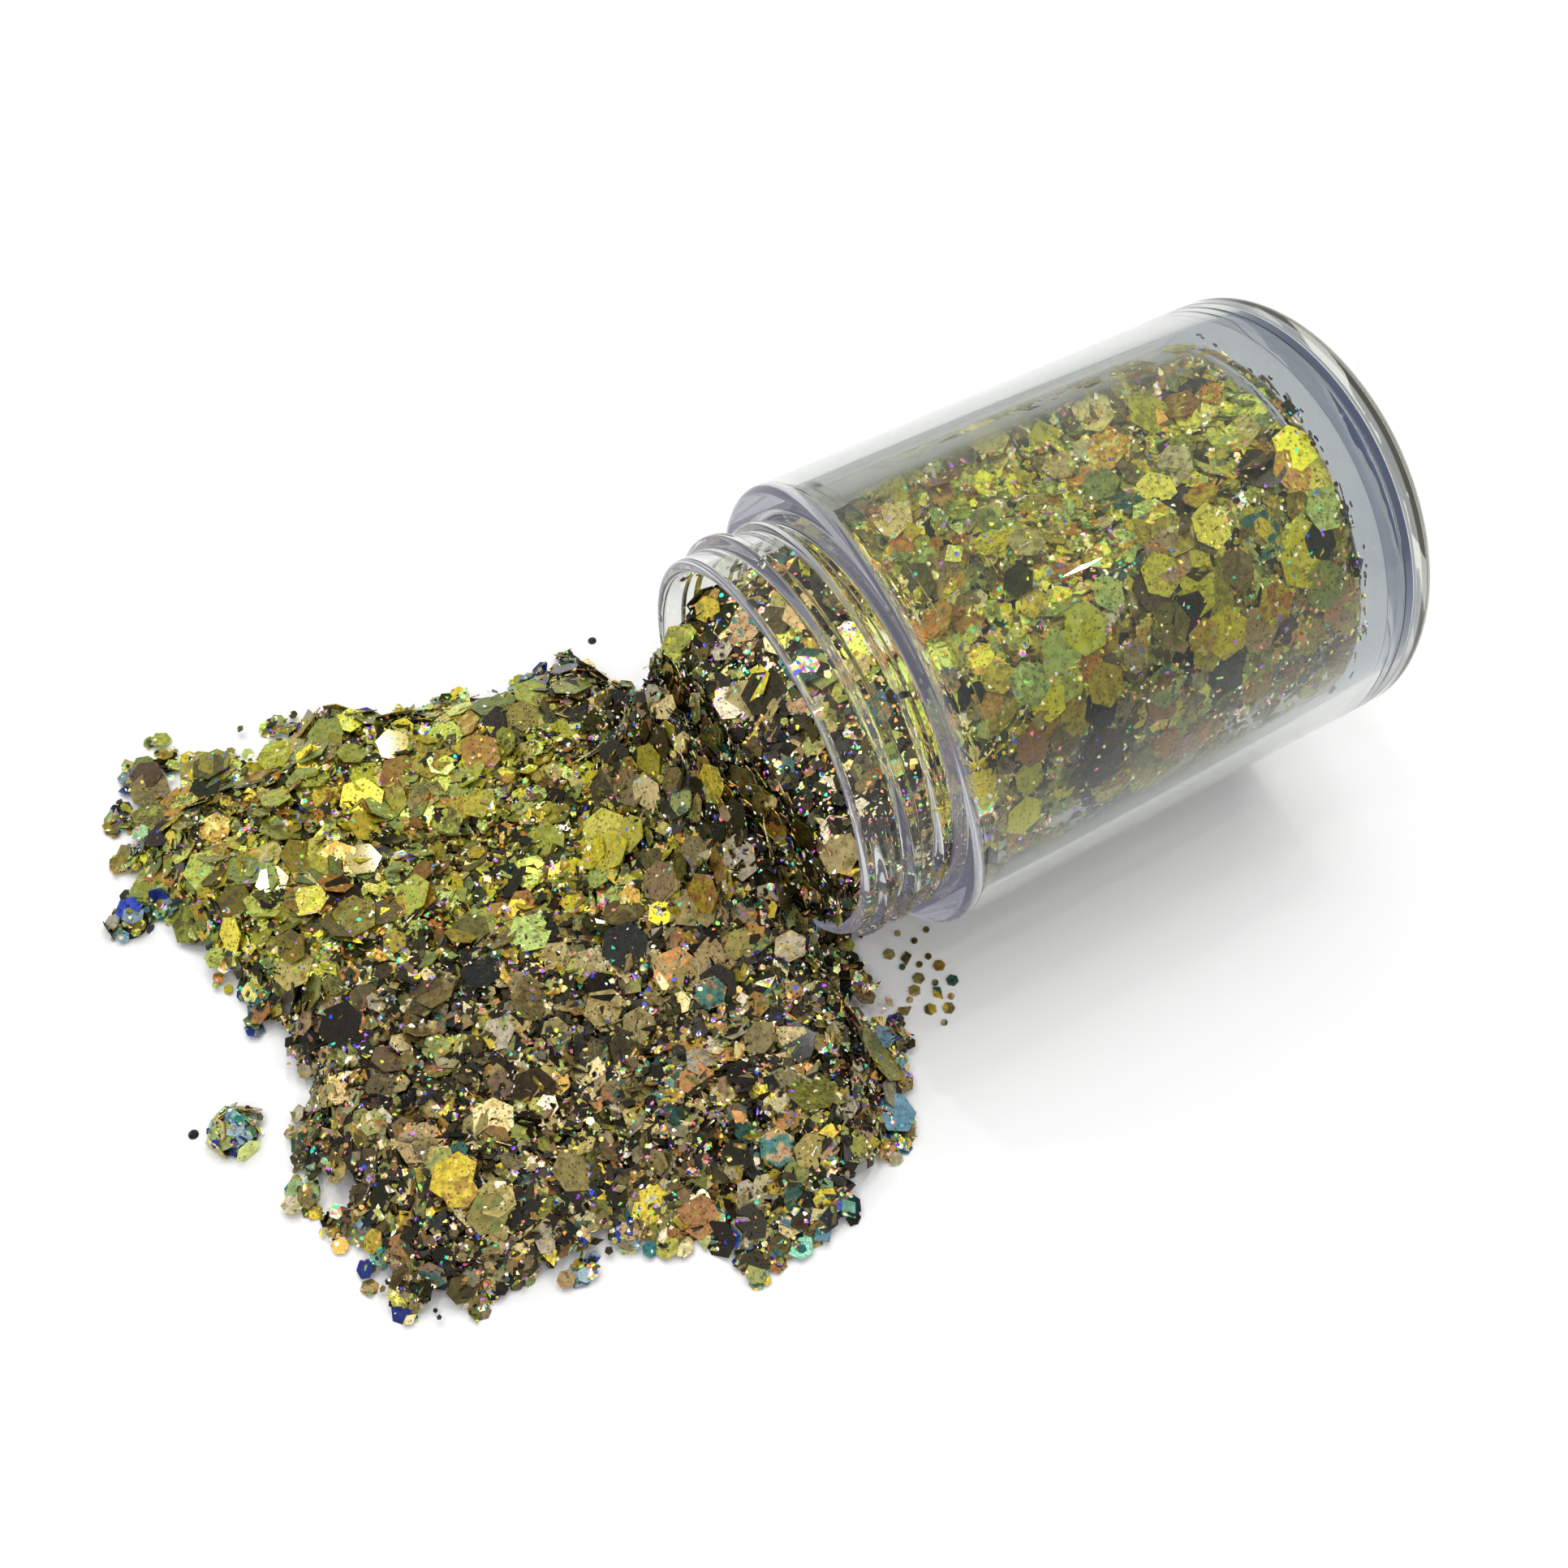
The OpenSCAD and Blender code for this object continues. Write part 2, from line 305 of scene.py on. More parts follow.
def clear_plastic(name, tint, glow_colour, ripple_scale, ripple_depth):
    """Clear moulded plastic. Lamps' rays pass straight through it, so that what it holds is lit.

    A painted glow, standing in for light that the plastic carries to its rims, is emitted where a mesh has
    "mouthward" numbers, in the glow colour, broken up by fine noise, and there the tint is made darker.
    Its "pale" and "rim" numbers turn that glow into the painted bands of the base's edge.
    """
    material, nodes, output = new_material(name)
    marks = nodes.add("ShaderNodeGroup", node_tree=surface_marks())
    marks.inputs["Ripple Scale"].default_value = ripple_scale
    bump = nodes.add("ShaderNodeBump", {"Height": marks.outputs["Height"], "Distance": ripple_depth})
    place = nodes.place()
    # Mask of the painted glow: mouthward points, broken up by fine noise along the vial, on the front faces
    # only.
    drawn = nodes.add("ShaderNodeVectorMath", {0: place, 1: GLOW_STREAK_SCALE}, operation="MULTIPLY").outputs[0]
    glow_streaks = nodes.noise(drawn, 1.0, 2.0)
    edge = nodes.times(nodes.attribute("mouthward"), nodes.range(glow_streaks, 0.35, 0.65, 0.78, 1.06))
    # Painted glow: the tint is made darker under it and its colour is emitted, with a faint 0.002 lift
    # elsewhere.
    dimmed_under_glow = [DIMMED_UNDER_GLOW * c for c in tint] + [1.0]
    glow_bands = nodes.blend(nodes.attribute("pale"), (*glow_colour, 1.0), (*vial().pale_glow, 1.0))
    glow_bands = nodes.blend(nodes.attribute("rim"), glow_bands, (*vial().rim_glow, 1.0))
    outside = nodes.one_minus(nodes.add("ShaderNodeNewGeometry").outputs["Backfacing"])
    edge = nodes.times(edge, outside)
    body = nodes.add(
        "ShaderNodeBsdfPrincipled",
        {
            "Base Color": nodes.blend(edge, (*tint, 1.0), dimmed_under_glow),
            "Roughness": marks.outputs["Roughness"],
            "Metallic": 0.0,
            "IOR": 1.49,
            "Transmission Weight": 1.0,
            "Specular Tint": DAMPED,
            "Emission Color": nodes.blend(edge, (0.002, 0.002, 0.002, 1.0), glow_bands),
            "Emission Strength": 1.0,
            "Normal": bump.outputs["Normal"],
        },
    )
    lamp_pass = nodes.add("ShaderNodeBsdfTransparent", {"Color": LAMP_PASS})
    lamp_ray = nodes.add("ShaderNodeLightPath").outputs["Is Shadow Ray"]
    mixed = nodes.add("ShaderNodeMixShader", {0: lamp_ray, 1: body.outputs[0], 2: lamp_pass.outputs[0]})
    nodes.tree.links.new(mixed.outputs[0], output.inputs["Surface"])
    return material


OLIVES = [
    (206, 192, 46), (196, 188, 72), (176, 174, 44), (184, 190, 84), (164, 182, 96), (136, 150, 80),
    (142, 148, 60), (104, 98, 44), (120, 108, 60), (150, 134, 40), (168, 160, 60), (190, 178, 104),
    (176, 138, 56), (172, 118, 48), (190, 168, 50),
]
MIXED = [
    (166, 150, 84), (186, 166, 104), (204, 184, 128), (188, 176, 150), (172, 162, 116), (140, 126, 84),
    (120, 104, 54), (92, 80, 44), (78, 66, 38), (126, 128, 62), (160, 156, 70), (206, 182, 60),
    (176, 138, 60), (180, 126, 72), (150, 128, 84), (144, 116, 84), (62, 102, 90), (148, 152, 84),
]
COOLS = [
    (178, 186, 110), (168, 196, 130), (150, 186, 140), (120, 176, 150), (50, 130, 130),
    (110, 150, 168), (146, 168, 178), (40, 60, 150),
]
# Colours of the painted glints.
PAINTED_GLINTS = [
    (255, 250, 225), (255, 240, 190), (255, 226, 120), (255, 255, 245), (250, 236, 200), (235, 235, 60),
    (255, 170, 90), (60, 220, 180), (40, 80, 225), (180, 90, 240), (150, 235, 90), (255, 130, 150),
]


def flake_film():
    """Group: the colour, gloss and relief of a printed film flake, by the numbers that each flake carries,
    with painted shade that turns a share of flakes near black and painted glints that are also given out for
    emission.
    """
    if "Flake Film" in bpy.data.node_groups:
        return bpy.data.node_groups["Flake Film"]
    nodes, given, give = shader_group(
        "Flake Film",
        [
            ("Pit Amount", "NodeSocketFloat", 0.6),
            ("Pit Scale", "NodeSocketFloat", 3400.0),
            ("Glint Share", "NodeSocketFloat", 0.06),
            ("Sparkle Share", "NodeSocketFloat", 0.03),
            ("Gloom Share", "NodeSocketFloat", 1.0),
            ("Brightness", "NodeSocketFloat", 1.0),
        ],
        [
            ("Colour", "NodeSocketColor"),
            ("Glint", "NodeSocketColor"),
            ("Roughness", "NodeSocketFloat"),
            ("Metallic", "NodeSocketFloat"),
            ("Height", "NodeSocketFloat"),
        ],
    )
    tone, gleam = nodes.attribute("tone"), nodes.attribute("gleam")
    zone, chill, gloom = nodes.attribute("zone"), nodes.attribute("chill"), nodes.attribute("gloom")
    place = nodes.place()
    cloud = nodes.noise(place, 2300.0, 4.0, Roughness=0.65)
    drift = nodes.noise(place, 1500.0, 2.0)
    shifted = nodes.math("FRACT", nodes.math("ADD", tone, nodes.range(drift, 0.3, 0.7, -0.035, 0.035)))
    in_mixed = nodes.math("GREATER_THAN", zone, nodes.redraw(gleam, 7.31))
    in_cool = nodes.math("GREATER_THAN", chill, nodes.redraw(gleam, 23.17))
    plain = nodes.blend(in_mixed, nodes.swatches(shifted, OLIVES), nodes.swatches(shifted, MIXED))
    plain = nodes.blend(in_cool, plain, nodes.swatches(shifted, COOLS))
    pits = nodes.add("ShaderNodeTexVoronoi", {"Vector": place, "Scale": given["Pit Scale"]})
    pits = pits.outputs["Distance"]
    pit = nodes.times(nodes.range(pits, 0.3, 0.14), given["Pit Amount"])
    light = nodes.times(nodes.range(cloud, 0.3, 0.7, 0.6, 1.3), given["Brightness"])
    light = nodes.times(light, nodes.range(gleam, 0.0, 1.0, 0.45, 1.35))
    light = nodes.times(light, nodes.one_minus(nodes.times(pit, 0.85)))
    # Painted shade: a share of flakes, set by each point's painted-shade number, turns near black, standing
    # in for the shade in the gaps between flakes and near the mouth.
    third = nodes.redraw(gleam, 13.7)
    depth = nodes.times(gloom, given["Gloom Share"])
    shaded = nodes.times(nodes.math("LESS_THAN", third, depth), 0.94)
    light = nodes.times(light, nodes.one_minus(shaded))
    toned = nodes.add("ShaderNodeVectorMath", {0: plain, "Scale": light}, operation="SCALE").outputs[0]
    # Painted glints: small cells of a flake, and whole flakes by their tone, take a bright glint colour,
    # which is also given out for emission.
    grain = nodes.add("ShaderNodeTexVoronoi", {"Vector": place, "Scale": 5200.0}).outputs["Color"]
    parts = nodes.add("ShaderNodeSeparateColor", {"Color": grain}).outputs
    sparkle = nodes.math("GREATER_THAN", parts["Red"], nodes.one_minus(given["Sparkle Share"]))
    whole = nodes.math("GREATER_THAN", tone, nodes.one_minus(given["Glint Share"]))
    picked = nodes.math("FRACT", nodes.math("ADD", nodes.times(gleam, 37.0), parts["Green"]))
    glint = nodes.swatches(picked, PAINTED_GLINTS)
    bright = nodes.math("MAXIMUM", sparkle, whole)
    bright = nodes.times(bright, nodes.range(cloud, 0.35, 0.55, 0.25, 1.0))
    give("Colour", nodes.blend(bright, toned, glint))
    give("Glint", nodes.blend(bright, [0.0, 0.0, 0.0, 1.0], glint))
    give("Roughness", nodes.range(cloud, 0.3, 0.7, 0.18, 0.4))
    give("Metallic", nodes.range(gleam, 0.0, 1.0, 0.45, 0.85))
    give("Height", nodes.math("SUBTRACT", cloud, nodes.times(pit, 0.8)))
    return nodes.tree


def flake_material(name, pit_amount, glint_share, sparkle_share, painted_shade_share, brightness, glow):
    """Metallised film. Each flake has its own colour from its tone number. Its painted glints glow with the
    strength glow, and its painted shade darkens a share of flakes.
    """
    material, nodes, output = new_material(name)
    film = nodes.add("ShaderNodeGroup", node_tree=flake_film())
    film.inputs["Pit Amount"].default_value = pit_amount
    film.inputs["Glint Share"].default_value = glint_share
    film.inputs["Sparkle Share"].default_value = sparkle_share
    film.inputs["Gloom Share"].default_value = painted_shade_share
    film.inputs["Brightness"].default_value = brightness
    bump = nodes.add("ShaderNodeBump", {"Height": film.outputs["Height"], "Distance": 0.03 * MM})
    body = nodes.add(
        "ShaderNodeBsdfPrincipled",
        {
            "Base Color": film.outputs["Colour"],
            "Roughness": film.outputs["Roughness"],
            "Metallic": film.outputs["Metallic"],
            "Specular IOR Level": 0.6,
            "Coat Weight": 0.25,
            "Coat Roughness": 0.08,
            "Emission Color": film.outputs["Glint"],
            "Emission Strength": glow,
            "Normal": bump.outputs["Normal"],
        },
    )
    nodes.tree.links.new(body.outputs[0], output.inputs["Surface"])
    return material


def stray_film():
    """Film for the flakes that lie alone: each takes its colour from the cell of space that it lies in."""
    material, nodes, output = new_material("film_stray")
    place = nodes.place()
    cells = nodes.add("ShaderNodeTexVoronoi", {"Vector": place, "Scale": 900.0})
    picked = nodes.add("ShaderNodeSeparateColor", {"Color": cells.outputs["Color"]}).outputs["Red"]
    cloud = nodes.noise(place, 3200.0, 3.0)
    light = nodes.range(cloud, 0.3, 0.7, 0.5, 1.15)
    toned = nodes.add(
        "ShaderNodeVectorMath", {0: nodes.swatches(picked, MIXED), "Scale": light}, operation="SCALE"
    ).outputs[0]
    bump = nodes.add("ShaderNodeBump", {"Height": cloud, "Distance": 0.03 * MM})
    body = nodes.add(
        "ShaderNodeBsdfPrincipled",
        {"Base Color": toned, "Roughness": nodes.range(cloud, 0.3, 0.7, 0.2, 0.45), "Metallic": 0.45,
         "Normal": bump.outputs["Normal"]},
    )
    nodes.tree.links.new(body.outputs[0], output.inputs["Surface"])
    return material


def packed_dark():
    """Painted shade for the depth between the flakes: dark brown, standing in for the shaded flakes below the
    top ones, with crumbs of film that catch the light.
    """
    material, nodes, output = new_material("packed_dark")
    place = nodes.place()
    crumbs = nodes.add("ShaderNodeTexVoronoi", {"Vector": place, "Scale": 2300.0})
    near = nodes.range(crumbs.outputs["Distance"], 0.28, 0.52, 1.0, 0.0)
    picked = nodes.add("ShaderNodeSeparateColor", {"Color": crumbs.outputs["Color"]}).outputs["Red"]
    film = nodes.blend(nodes.times(near, 0.2), paint(16, 11, 6), nodes.swatches(picked, MIXED))
    rough = nodes.range(picked, 0.0, 1.0, 0.35, 0.7)
    bump = nodes.add("ShaderNodeBump", {"Height": near, "Distance": 0.12 * MM})
    body = nodes.add(
        "ShaderNodeBsdfPrincipled",
        {"Base Color": film, "Roughness": rough, "Metallic": 0.2, "Normal": bump.outputs["Normal"]},
    )
    nodes.tree.links.new(body.outputs[0], output.inputs["Surface"])
    return material


# ---------------------------------------------------------------- mesh helpers


def new_object(name, mesh):
    """A new piece at the origin with this mesh."""
    made = bpy.data.objects.new(name, mesh)
    bpy.context.scene.collection.objects.link(made)
    return made


def store(mesh, numbers):
    """Puts a number on each point of a mesh, for each name."""
    for label, values in numbers.items():
        mesh.attributes.new(label, "FLOAT", "POINT").data.foreach_set("value", np.array(values, np.float32))


def mesh_of(name, points, faces, numbers=None):
    """A mesh from its points and faces, with its named numbers at the points."""
    mesh = bpy.data.meshes.new(name)
    mesh.from_pydata([tuple(p) for p in points], [], faces)
    store(mesh, numbers or {})
    mesh.update()
    return mesh


def outward(mesh):
    """Turns a closed mesh's faces outwards."""
    work = bmesh.new()
    work.from_mesh(mesh)
    bmesh.ops.recalc_face_normals(work, faces=work.faces)
    work.to_mesh(mesh)
    work.free()


def merged_copy(node):
    """A copy of a CAD node's mesh with its loose triangles joined, as points and faces."""
    work = bmesh.new()
    work.from_mesh(frame["nodes"][node].data)
    bmesh.ops.remove_doubles(work, verts=work.verts, dist=0.002 * MM)
    work.verts.index_update()
    points = np.array([v.co[:] for v in work.verts])
    faces = [[v.index for v in f.verts] for f in work.faces]
    work.free()
    return points, faces


def finish_piece(piece, body, material, replaces=()):
    """Gives a finished piece its material and its body, and hides the CAD nodes that it stands for."""
    piece.data.materials.clear()
    piece.data.materials.append(material)
    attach(piece, body)
    if replaces:
        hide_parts(*replaces)


# ---------------------------------------------------------------- clear mouldings

ARC_STEPS = 7
GUARD = 0.03 * MM
AROUND = 288
EDGE = 0.12 * MM
SEAT = 0.05 * MM
OUTER_EDGE = 0.6 * MM
NECK_STEP = 0.2 * MM


def radii():
    """Radii of the tube's bore, the cup's outside and the cup's bore."""
    plug_r = SHELL_R - vial().shell_wall
    cup_r = plug_r - vial().wall_gap
    return plug_r, cup_r, cup_r - vial().cup_wall


def filleted(corners, closed):
    """A side view's outline from corners (along, out, radius), with each corner rounded."""
    outline = []
    count = len(corners)
    for index, (x, r, radius) in enumerate(corners):
        here = Vector((x, r))
        if radius == 0 or (not closed and index in (0, count - 1)):
            outline.append(here)
            continue
        back = (Vector(corners[index - 1][:2]) - here).normalized()
        ahead = (Vector(corners[(index + 1) % count][:2]) - here).normalized()
        half = back.angle(ahead) / 2
        reach = radius / math.tan(half)
        centre = here + (back + ahead).normalized() * radius / math.sin(half)
        start, end = here + back * reach - centre, here + ahead * reach - centre
        outline.append(here + back * (reach + GUARD))
        sweep = start.angle_signed(end)
        for step in range(ARC_STEPS + 1):
            turn = -sweep * step / ARC_STEPS
            c, s = math.cos(turn), math.sin(turn)
            outline.append(centre + Vector((start.x * c - start.y * s, start.x * s + start.y * c)))
        outline.append(here + ahead * (reach + GUARD))
    return outline


def lathe(name, outline, closed, glow_r, swell=None, weld_x=None):
    """Turns a side view about the vial's axis. swell(x, radius, angle) adds to the radius where it is given.

    Each point's "mouthward" number says how squarely it faces the mouth, out to the given glow radius; it
    masks the painted glow of the clear plastic.
    The outer ring of faces in the plane weld_x is left out, for there the plastic of two mouldings is welded.
    """
    points, rings = [], []
    angles = [TURN * k / AROUND for k in range(AROUND)]
    for p in outline:
        if p.y < TOUCH:
            rings.append([len(points)])
            points.append((p.x, AXIS_Y, AXIS_Z))
            continue
        rings.append(list(range(len(points), len(points) + AROUND)))
        for angle in angles:
            r = p.y + (swell(p.x, p.y, angle) if swell else 0)
            points.append((p.x, AXIS_Y + r * math.cos(angle), AXIS_Z + r * math.sin(angle)))
    steps = list(zip(outline, outline[1:] + outline[:1]))
    leftward = sum(p.x * q.y - q.x * p.y for p, q in steps) > 0
    pairs = list(zip(steps, rings, rings[1:] + rings[:1]))
    faces = []
    for (p, q), a, b in pairs if closed else pairs[:-1]:
        in_plane = weld_x is not None and max(abs(p.x - weld_x), abs(q.x - weld_x)) < TOUCH
        if in_plane and max(p.y, q.y) > SHELL_R - TOUCH:
            continue
        for k in range(AROUND):
            n = (k + 1) % AROUND
            corner = [a[k % len(a)], a[n % len(a)], b[n % len(b)], b[k % len(b)]]
            corner = list(dict.fromkeys(corner))
            faces.append(corner[::-1] if leftward else corner)
    mesh = mesh_of(name, points, faces)
    mesh.shade_smooth()
    mouthward = [max(0.0, -v.normal.x) ** 2 for v in mesh.vertices]
    for index, vertex in enumerate(mesh.vertices):
        if math.hypot(vertex.co.y - AXIS_Y, vertex.co.z - AXIS_Z) > glow_r:
            mouthward[index] = 0.0
    store(mesh, {"mouthward": mouthward})
    return new_object(name, mesh)


class VIAL_OT_outer_shell(bpy.types.Operator):
    """Build the clear outer tube"""

    bl_idname = "vial.outer_shell"
    bl_label = "Outer Shell"

    def execute(self, context):
        bore = radii()[0]
        weld_bead = 0.2 * MM
        corners = [
            (SHELL_FRONT_X, bore - SEAT, 0),
            (SHELL_FRONT_X, SHELL_R, 0),
            (SHELL_BACK_X, SHELL_R, EDGE),
            (SHELL_BACK_X, bore, EDGE),
            (SHELL_FRONT_X + weld_bead, bore, 0),
        ]
        tube = lathe("outer_shell_tube", filleted(corners, True), True, glow_r=0, weld_x=SHELL_FRONT_X)
        material = clear_plastic("clear_tube", vial().shell_tint, vial().edge_glow, 130.0, 0.012 * MM)
        finish_piece(tube, "vial", material, ["outer_shell"])
        return {"FINISHED"}


def thread_swell():
    """How far the neck's outside stands out: the helical thread, then the round stop bead."""
    root = radii()[1] - NECK_STEP
    height = THREAD_R - root
    start, start_angle = 1.15 * MM, math.radians(150)
    last = TURN * vial().thread_turns
    foot, crest, fade = 0.65 * MM, 0.2 * MM, math.radians(30)
    bead_x, bead_r = 4.9 * MM, 0.42 * MM

    def swell(x, r, angle):
        along = x - LIP_X
        if abs(r - root) > TOUCH or not 0.34 * MM < along < 5.5 * MM:
            return 0.0
        out = math.sqrt(max(0.0, bead_r**2 - (along - bead_x) ** 2))
        run = (angle - start_angle) % TURN
        while run < last:
            away = abs(along - start - vial().thread_pitch * run / TURN)
            rise = min(1.0, run / fade, (last - run) / fade)
            out = max(out, height * ease(rise) * ease((foot - away) / (foot - crest)))
            run += TURN
        return out

    return root, swell


class VIAL_OT_inner_cup(bpy.types.Operator):
    """Build the cup with its lip, threaded neck, shoulder flange and round-cornered floor"""

    bl_idname = "vial.inner_cup"
    bl_label = "Inner Cup"

    def execute(self, context):
        s = vial()
        neck_r, swell = thread_swell()
        plug_r, cup_r, bore = radii()
        shoulder = SHELL_FRONT_X - s.flange
        lip, neck_foot = 0.32 * MM, 0.2 * MM
        front = [
            (CUP_END_X - s.cup_wall, 0.0, 0),
            (CUP_END_X - s.cup_wall, bore, s.cup_corner - s.cup_wall),
            (LIP_X, bore, lip),
            (LIP_X, neck_r, lip),
            (shoulder, neck_r, neck_foot),
            (shoulder, SHELL_R, OUTER_EDGE),
            (SHELL_FRONT_X, SHELL_R, 0),
            (SHELL_FRONT_X, plug_r - SEAT, 0),
            (SHELL_FRONT_X + s.spigot, plug_r - SEAT, EDGE),
            (SHELL_FRONT_X + s.spigot, cup_r, EDGE),
            (CUP_END_X, cup_r, s.cup_corner),
            (CUP_END_X, 0.0, 0),
        ]
        outline = filleted(front, False)
        last = max(i for i, p in enumerate(outline) if abs(p.y - neck_r) < TOUCH and p.x < LIP_X + 1 * MM)
        step = 0.07 * MM
        count = int((shoulder - 0.3 * MM - outline[last].x) / step)
        neck = [Vector((outline[last].x + step * (i + 1), neck_r)) for i in range(count)]
        outline = outline[: last + 1] + neck + outline[last + 1 :]
        cup = lathe("inner_cup_moulding", outline, False, 2 * SHELL_R, swell, SHELL_FRONT_X)
        # Stronger painted glow on the lip's face and on the flange's front.
        glow = cup.data.attributes["mouthward"].data
        for vertex, spot in zip(cup.data.vertices, glow):
            if vertex.co.x < LIP_X + lip or shoulder - 0.05 * MM < vertex.co.x < SHELL_FRONT_X:
                spot.value = min(1.0, 1.5 * math.sqrt(spot.value))
        material = clear_plastic("clear_cup_plastic", s.cup_tint, s.edge_glow, 170.0, 0.012 * MM)
        finish_piece(cup, "vial", material, ["inner_cup"])
        return {"FINISHED"}


class VIAL_OT_base_disc(bpy.types.Operator):
    """Build the base disc that plugs the tube's back end"""

    bl_idname = "vial.base_disc"
    bl_label = "Base Disc"

    def execute(self, context):
        plug_r = radii()[0] - SEAT
        seam = SHELL_BACK_X + 0.02 * MM
        rim_band, blend, crisp = 1.0 * MM, 0.1 * MM, 0.03 * MM
        corners = [
            (BASE_IN_X, 0.0, 0),
            (BASE_IN_X, plug_r, crisp),
            (seam, plug_r, EDGE),
            (seam, SHELL_R, EDGE),
            (BASE_END_X - rim_band - blend / 2, SHELL_R, 0),
            (BASE_END_X - rim_band + blend / 2, SHELL_R, 0),
            (BASE_END_X, SHELL_R, OUTER_EDGE),
            (BASE_END_X, 0.0, 0),
        ]
        disc = lathe("base_disc_moulding", filleted(corners, False), False, plug_r - EDGE)
        # Masks of the painted glow of the base: the mouthward glow on the edge and the plug, the painted pale
        # band in the edge and the inner face, and the painted olive-grey rim.
        glow_masks = {"mouthward": [], "pale": [], "rim": []}
        before = disc.data.attributes["mouthward"].data
        for vertex, spot in zip(disc.data.vertices, before):
            left = BASE_END_X - vertex.co.x
            out = math.hypot(vertex.co.y - AXIS_Y, vertex.co.z - AXIS_Z)
            on_edge = 1.0 if out > SHELL_R - 0.65 * MM and vertex.co.x > SHELL_BACK_X else 0.0
            on_plug = 1.0 if out > plug_r - EDGE and not on_edge else 0.0
            on_face = 1.0 - max(on_edge, on_plug)
            glow_masks["mouthward"].append(max(spot.value, 0.85 * on_edge, 0.9 * on_plug))
            glow_masks["pale"].append(max(on_edge, 0.6 * on_face))
            glow_masks["rim"].append(on_edge * ease((rim_band - left) / blend + 0.5))
        disc.data.attributes.remove(disc.data.attributes["mouthward"])
        store(disc.data, glow_masks)
        material = clear_plastic("clear_base_plastic", vial().base_tint, vial().disc_glow, 210.0, 0.03 * MM)
        finish_piece(disc, "vial", material, ["base_disc"])
        return {"FINISHED"}


# ---------------------------------------------------------------- scattered flakes

SCATTER_INPUTS = [
    ("Sides", "NodeSocketInt", 6),
    ("Width", "NodeSocketFloat", 1 * MM),
    ("Width Spread", "NodeSocketFloat", 0.2),
    ("Squeeze", "NodeSocketFloat", 0.0),
    ("Film", "NodeSocketFloat", 0.1 * MM),
    ("Per Area", "NodeSocketFloat", 1e6),
    ("Cover", "NodeSocketString", "cover"),
    ("Tilt", "NodeSocketFloat", 0.3),
    ("Lift Low", "NodeSocketFloat", 0.0),
    ("Lift High", "NodeSocketFloat", 0.1 * MM),
    ("Seed", "NodeSocketInt", 0),
    ("Material", "NodeSocketMaterial", None),
]


def scatter_tree():
    """Geometry nodes: lays many-sided film flakes on a surface, each turned, tipped and sized at random."""
    if "Flake Scatter" in bpy.data.node_groups:
        return bpy.data.node_groups["Flake Scatter"]
    tree = bpy.data.node_groups.new("Flake Scatter", "GeometryNodeTree")
    tree.interface.new_socket(name="Surface", in_out="INPUT", socket_type="NodeSocketGeometry")
    for label, kind, default in SCATTER_INPUTS:
        socket = tree.interface.new_socket(name=label, in_out="INPUT", socket_type=kind)
        if default is not None:
            socket.default_value = default
    tree.interface.new_socket(name="Flakes", in_out="OUTPUT", socket_type="NodeSocketGeometry")
    nodes = Nodes(tree)
    given = nodes.add("NodeGroupInput").outputs
    seeds = iter(range(1, 99))

    def random_number(low, high):
        seed = nodes.math("ADD", given["Seed"], float(next(seeds)))
        return nodes.add("FunctionNodeRandomValue", {2: low, 3: high, 8: seed}, data_type="FLOAT").outputs[1]

    named = {"Name": given["Cover"]}
    cover = nodes.add("GeometryNodeInputNamedAttribute", named, data_type="FLOAT").outputs[0]
    density = nodes.times(given["Per Area"], cover)
    spread = nodes.add(
        "GeometryNodeDistributePointsOnFaces",
        {"Mesh": given["Surface"], "Density": density, "Seed": given["Seed"]},
    )
    lift = nodes.add(
        "ShaderNodeVectorMath",
        {0: spread.outputs["Normal"], "Scale": random_number(given["Lift Low"], given["Lift High"])},
        operation="SCALE",
    ).outputs[0]
    raised = {"Geometry": spread.outputs["Points"], "Offset": lift}
    lifted = nodes.add("GeometryNodeSetPosition", raised).outputs[0]
    level = nodes.times(given["Tilt"], -1.0)
    tips = [random_number(level, given["Tilt"]) for axis in range(2)] + [random_number(0.0, TURN)]
    tip = nodes.add("ShaderNodeCombineXYZ", dict(enumerate(tips))).outputs[0]
    tip = nodes.add("FunctionNodeEulerToRotation", {0: tip}).outputs[0]
    both = {0: spread.outputs["Rotation"], 1: tip}
    turned = nodes.add("FunctionNodeRotateRotation", both, rotation_space="LOCAL").outputs[0]
    small = nodes.one_minus(given["Width Spread"])
    large = nodes.math("ADD", 1.0, given["Width Spread"])
    width = nodes.times(given["Width"], random_number(small, large))
    narrow = nodes.times(width, random_number(nodes.one_minus(given["Squeeze"]), 1.0))
    size = nodes.add("ShaderNodeCombineXYZ", {0: width, 1: narrow, 2: 1.0}).outputs[0]
    outline = {"Vertices": given["Sides"], "Radius": 0.5, "Depth": given["Film"]}
    film = nodes.add("GeometryNodeMeshCylinder", outline, fill_type="NGON").outputs["Mesh"]
    laid = nodes.add(
        "GeometryNodeInstanceOnPoints",
        {"Points": lifted, "Instance": film, "Rotation": turned, "Scale": size},
    ).outputs[0]
    for label in ("tone", "gleam"):
        laid = nodes.add(
            "GeometryNodeStoreNamedAttribute",
            {"Geometry": laid, "Name": label, "Value": random_number(0.0, 1.0)},
            data_type="FLOAT",
            domain="INSTANCE",
        ).outputs[0]
    real = nodes.add("GeometryNodeRealizeInstances", {"Geometry": laid}).outputs[0]
    done = nodes.add("GeometryNodeSetMaterial", {"Geometry": real, "Material": given["Material"]}).outputs[0]
    nodes.add("NodeGroupOutput", {0: done})
    return tree


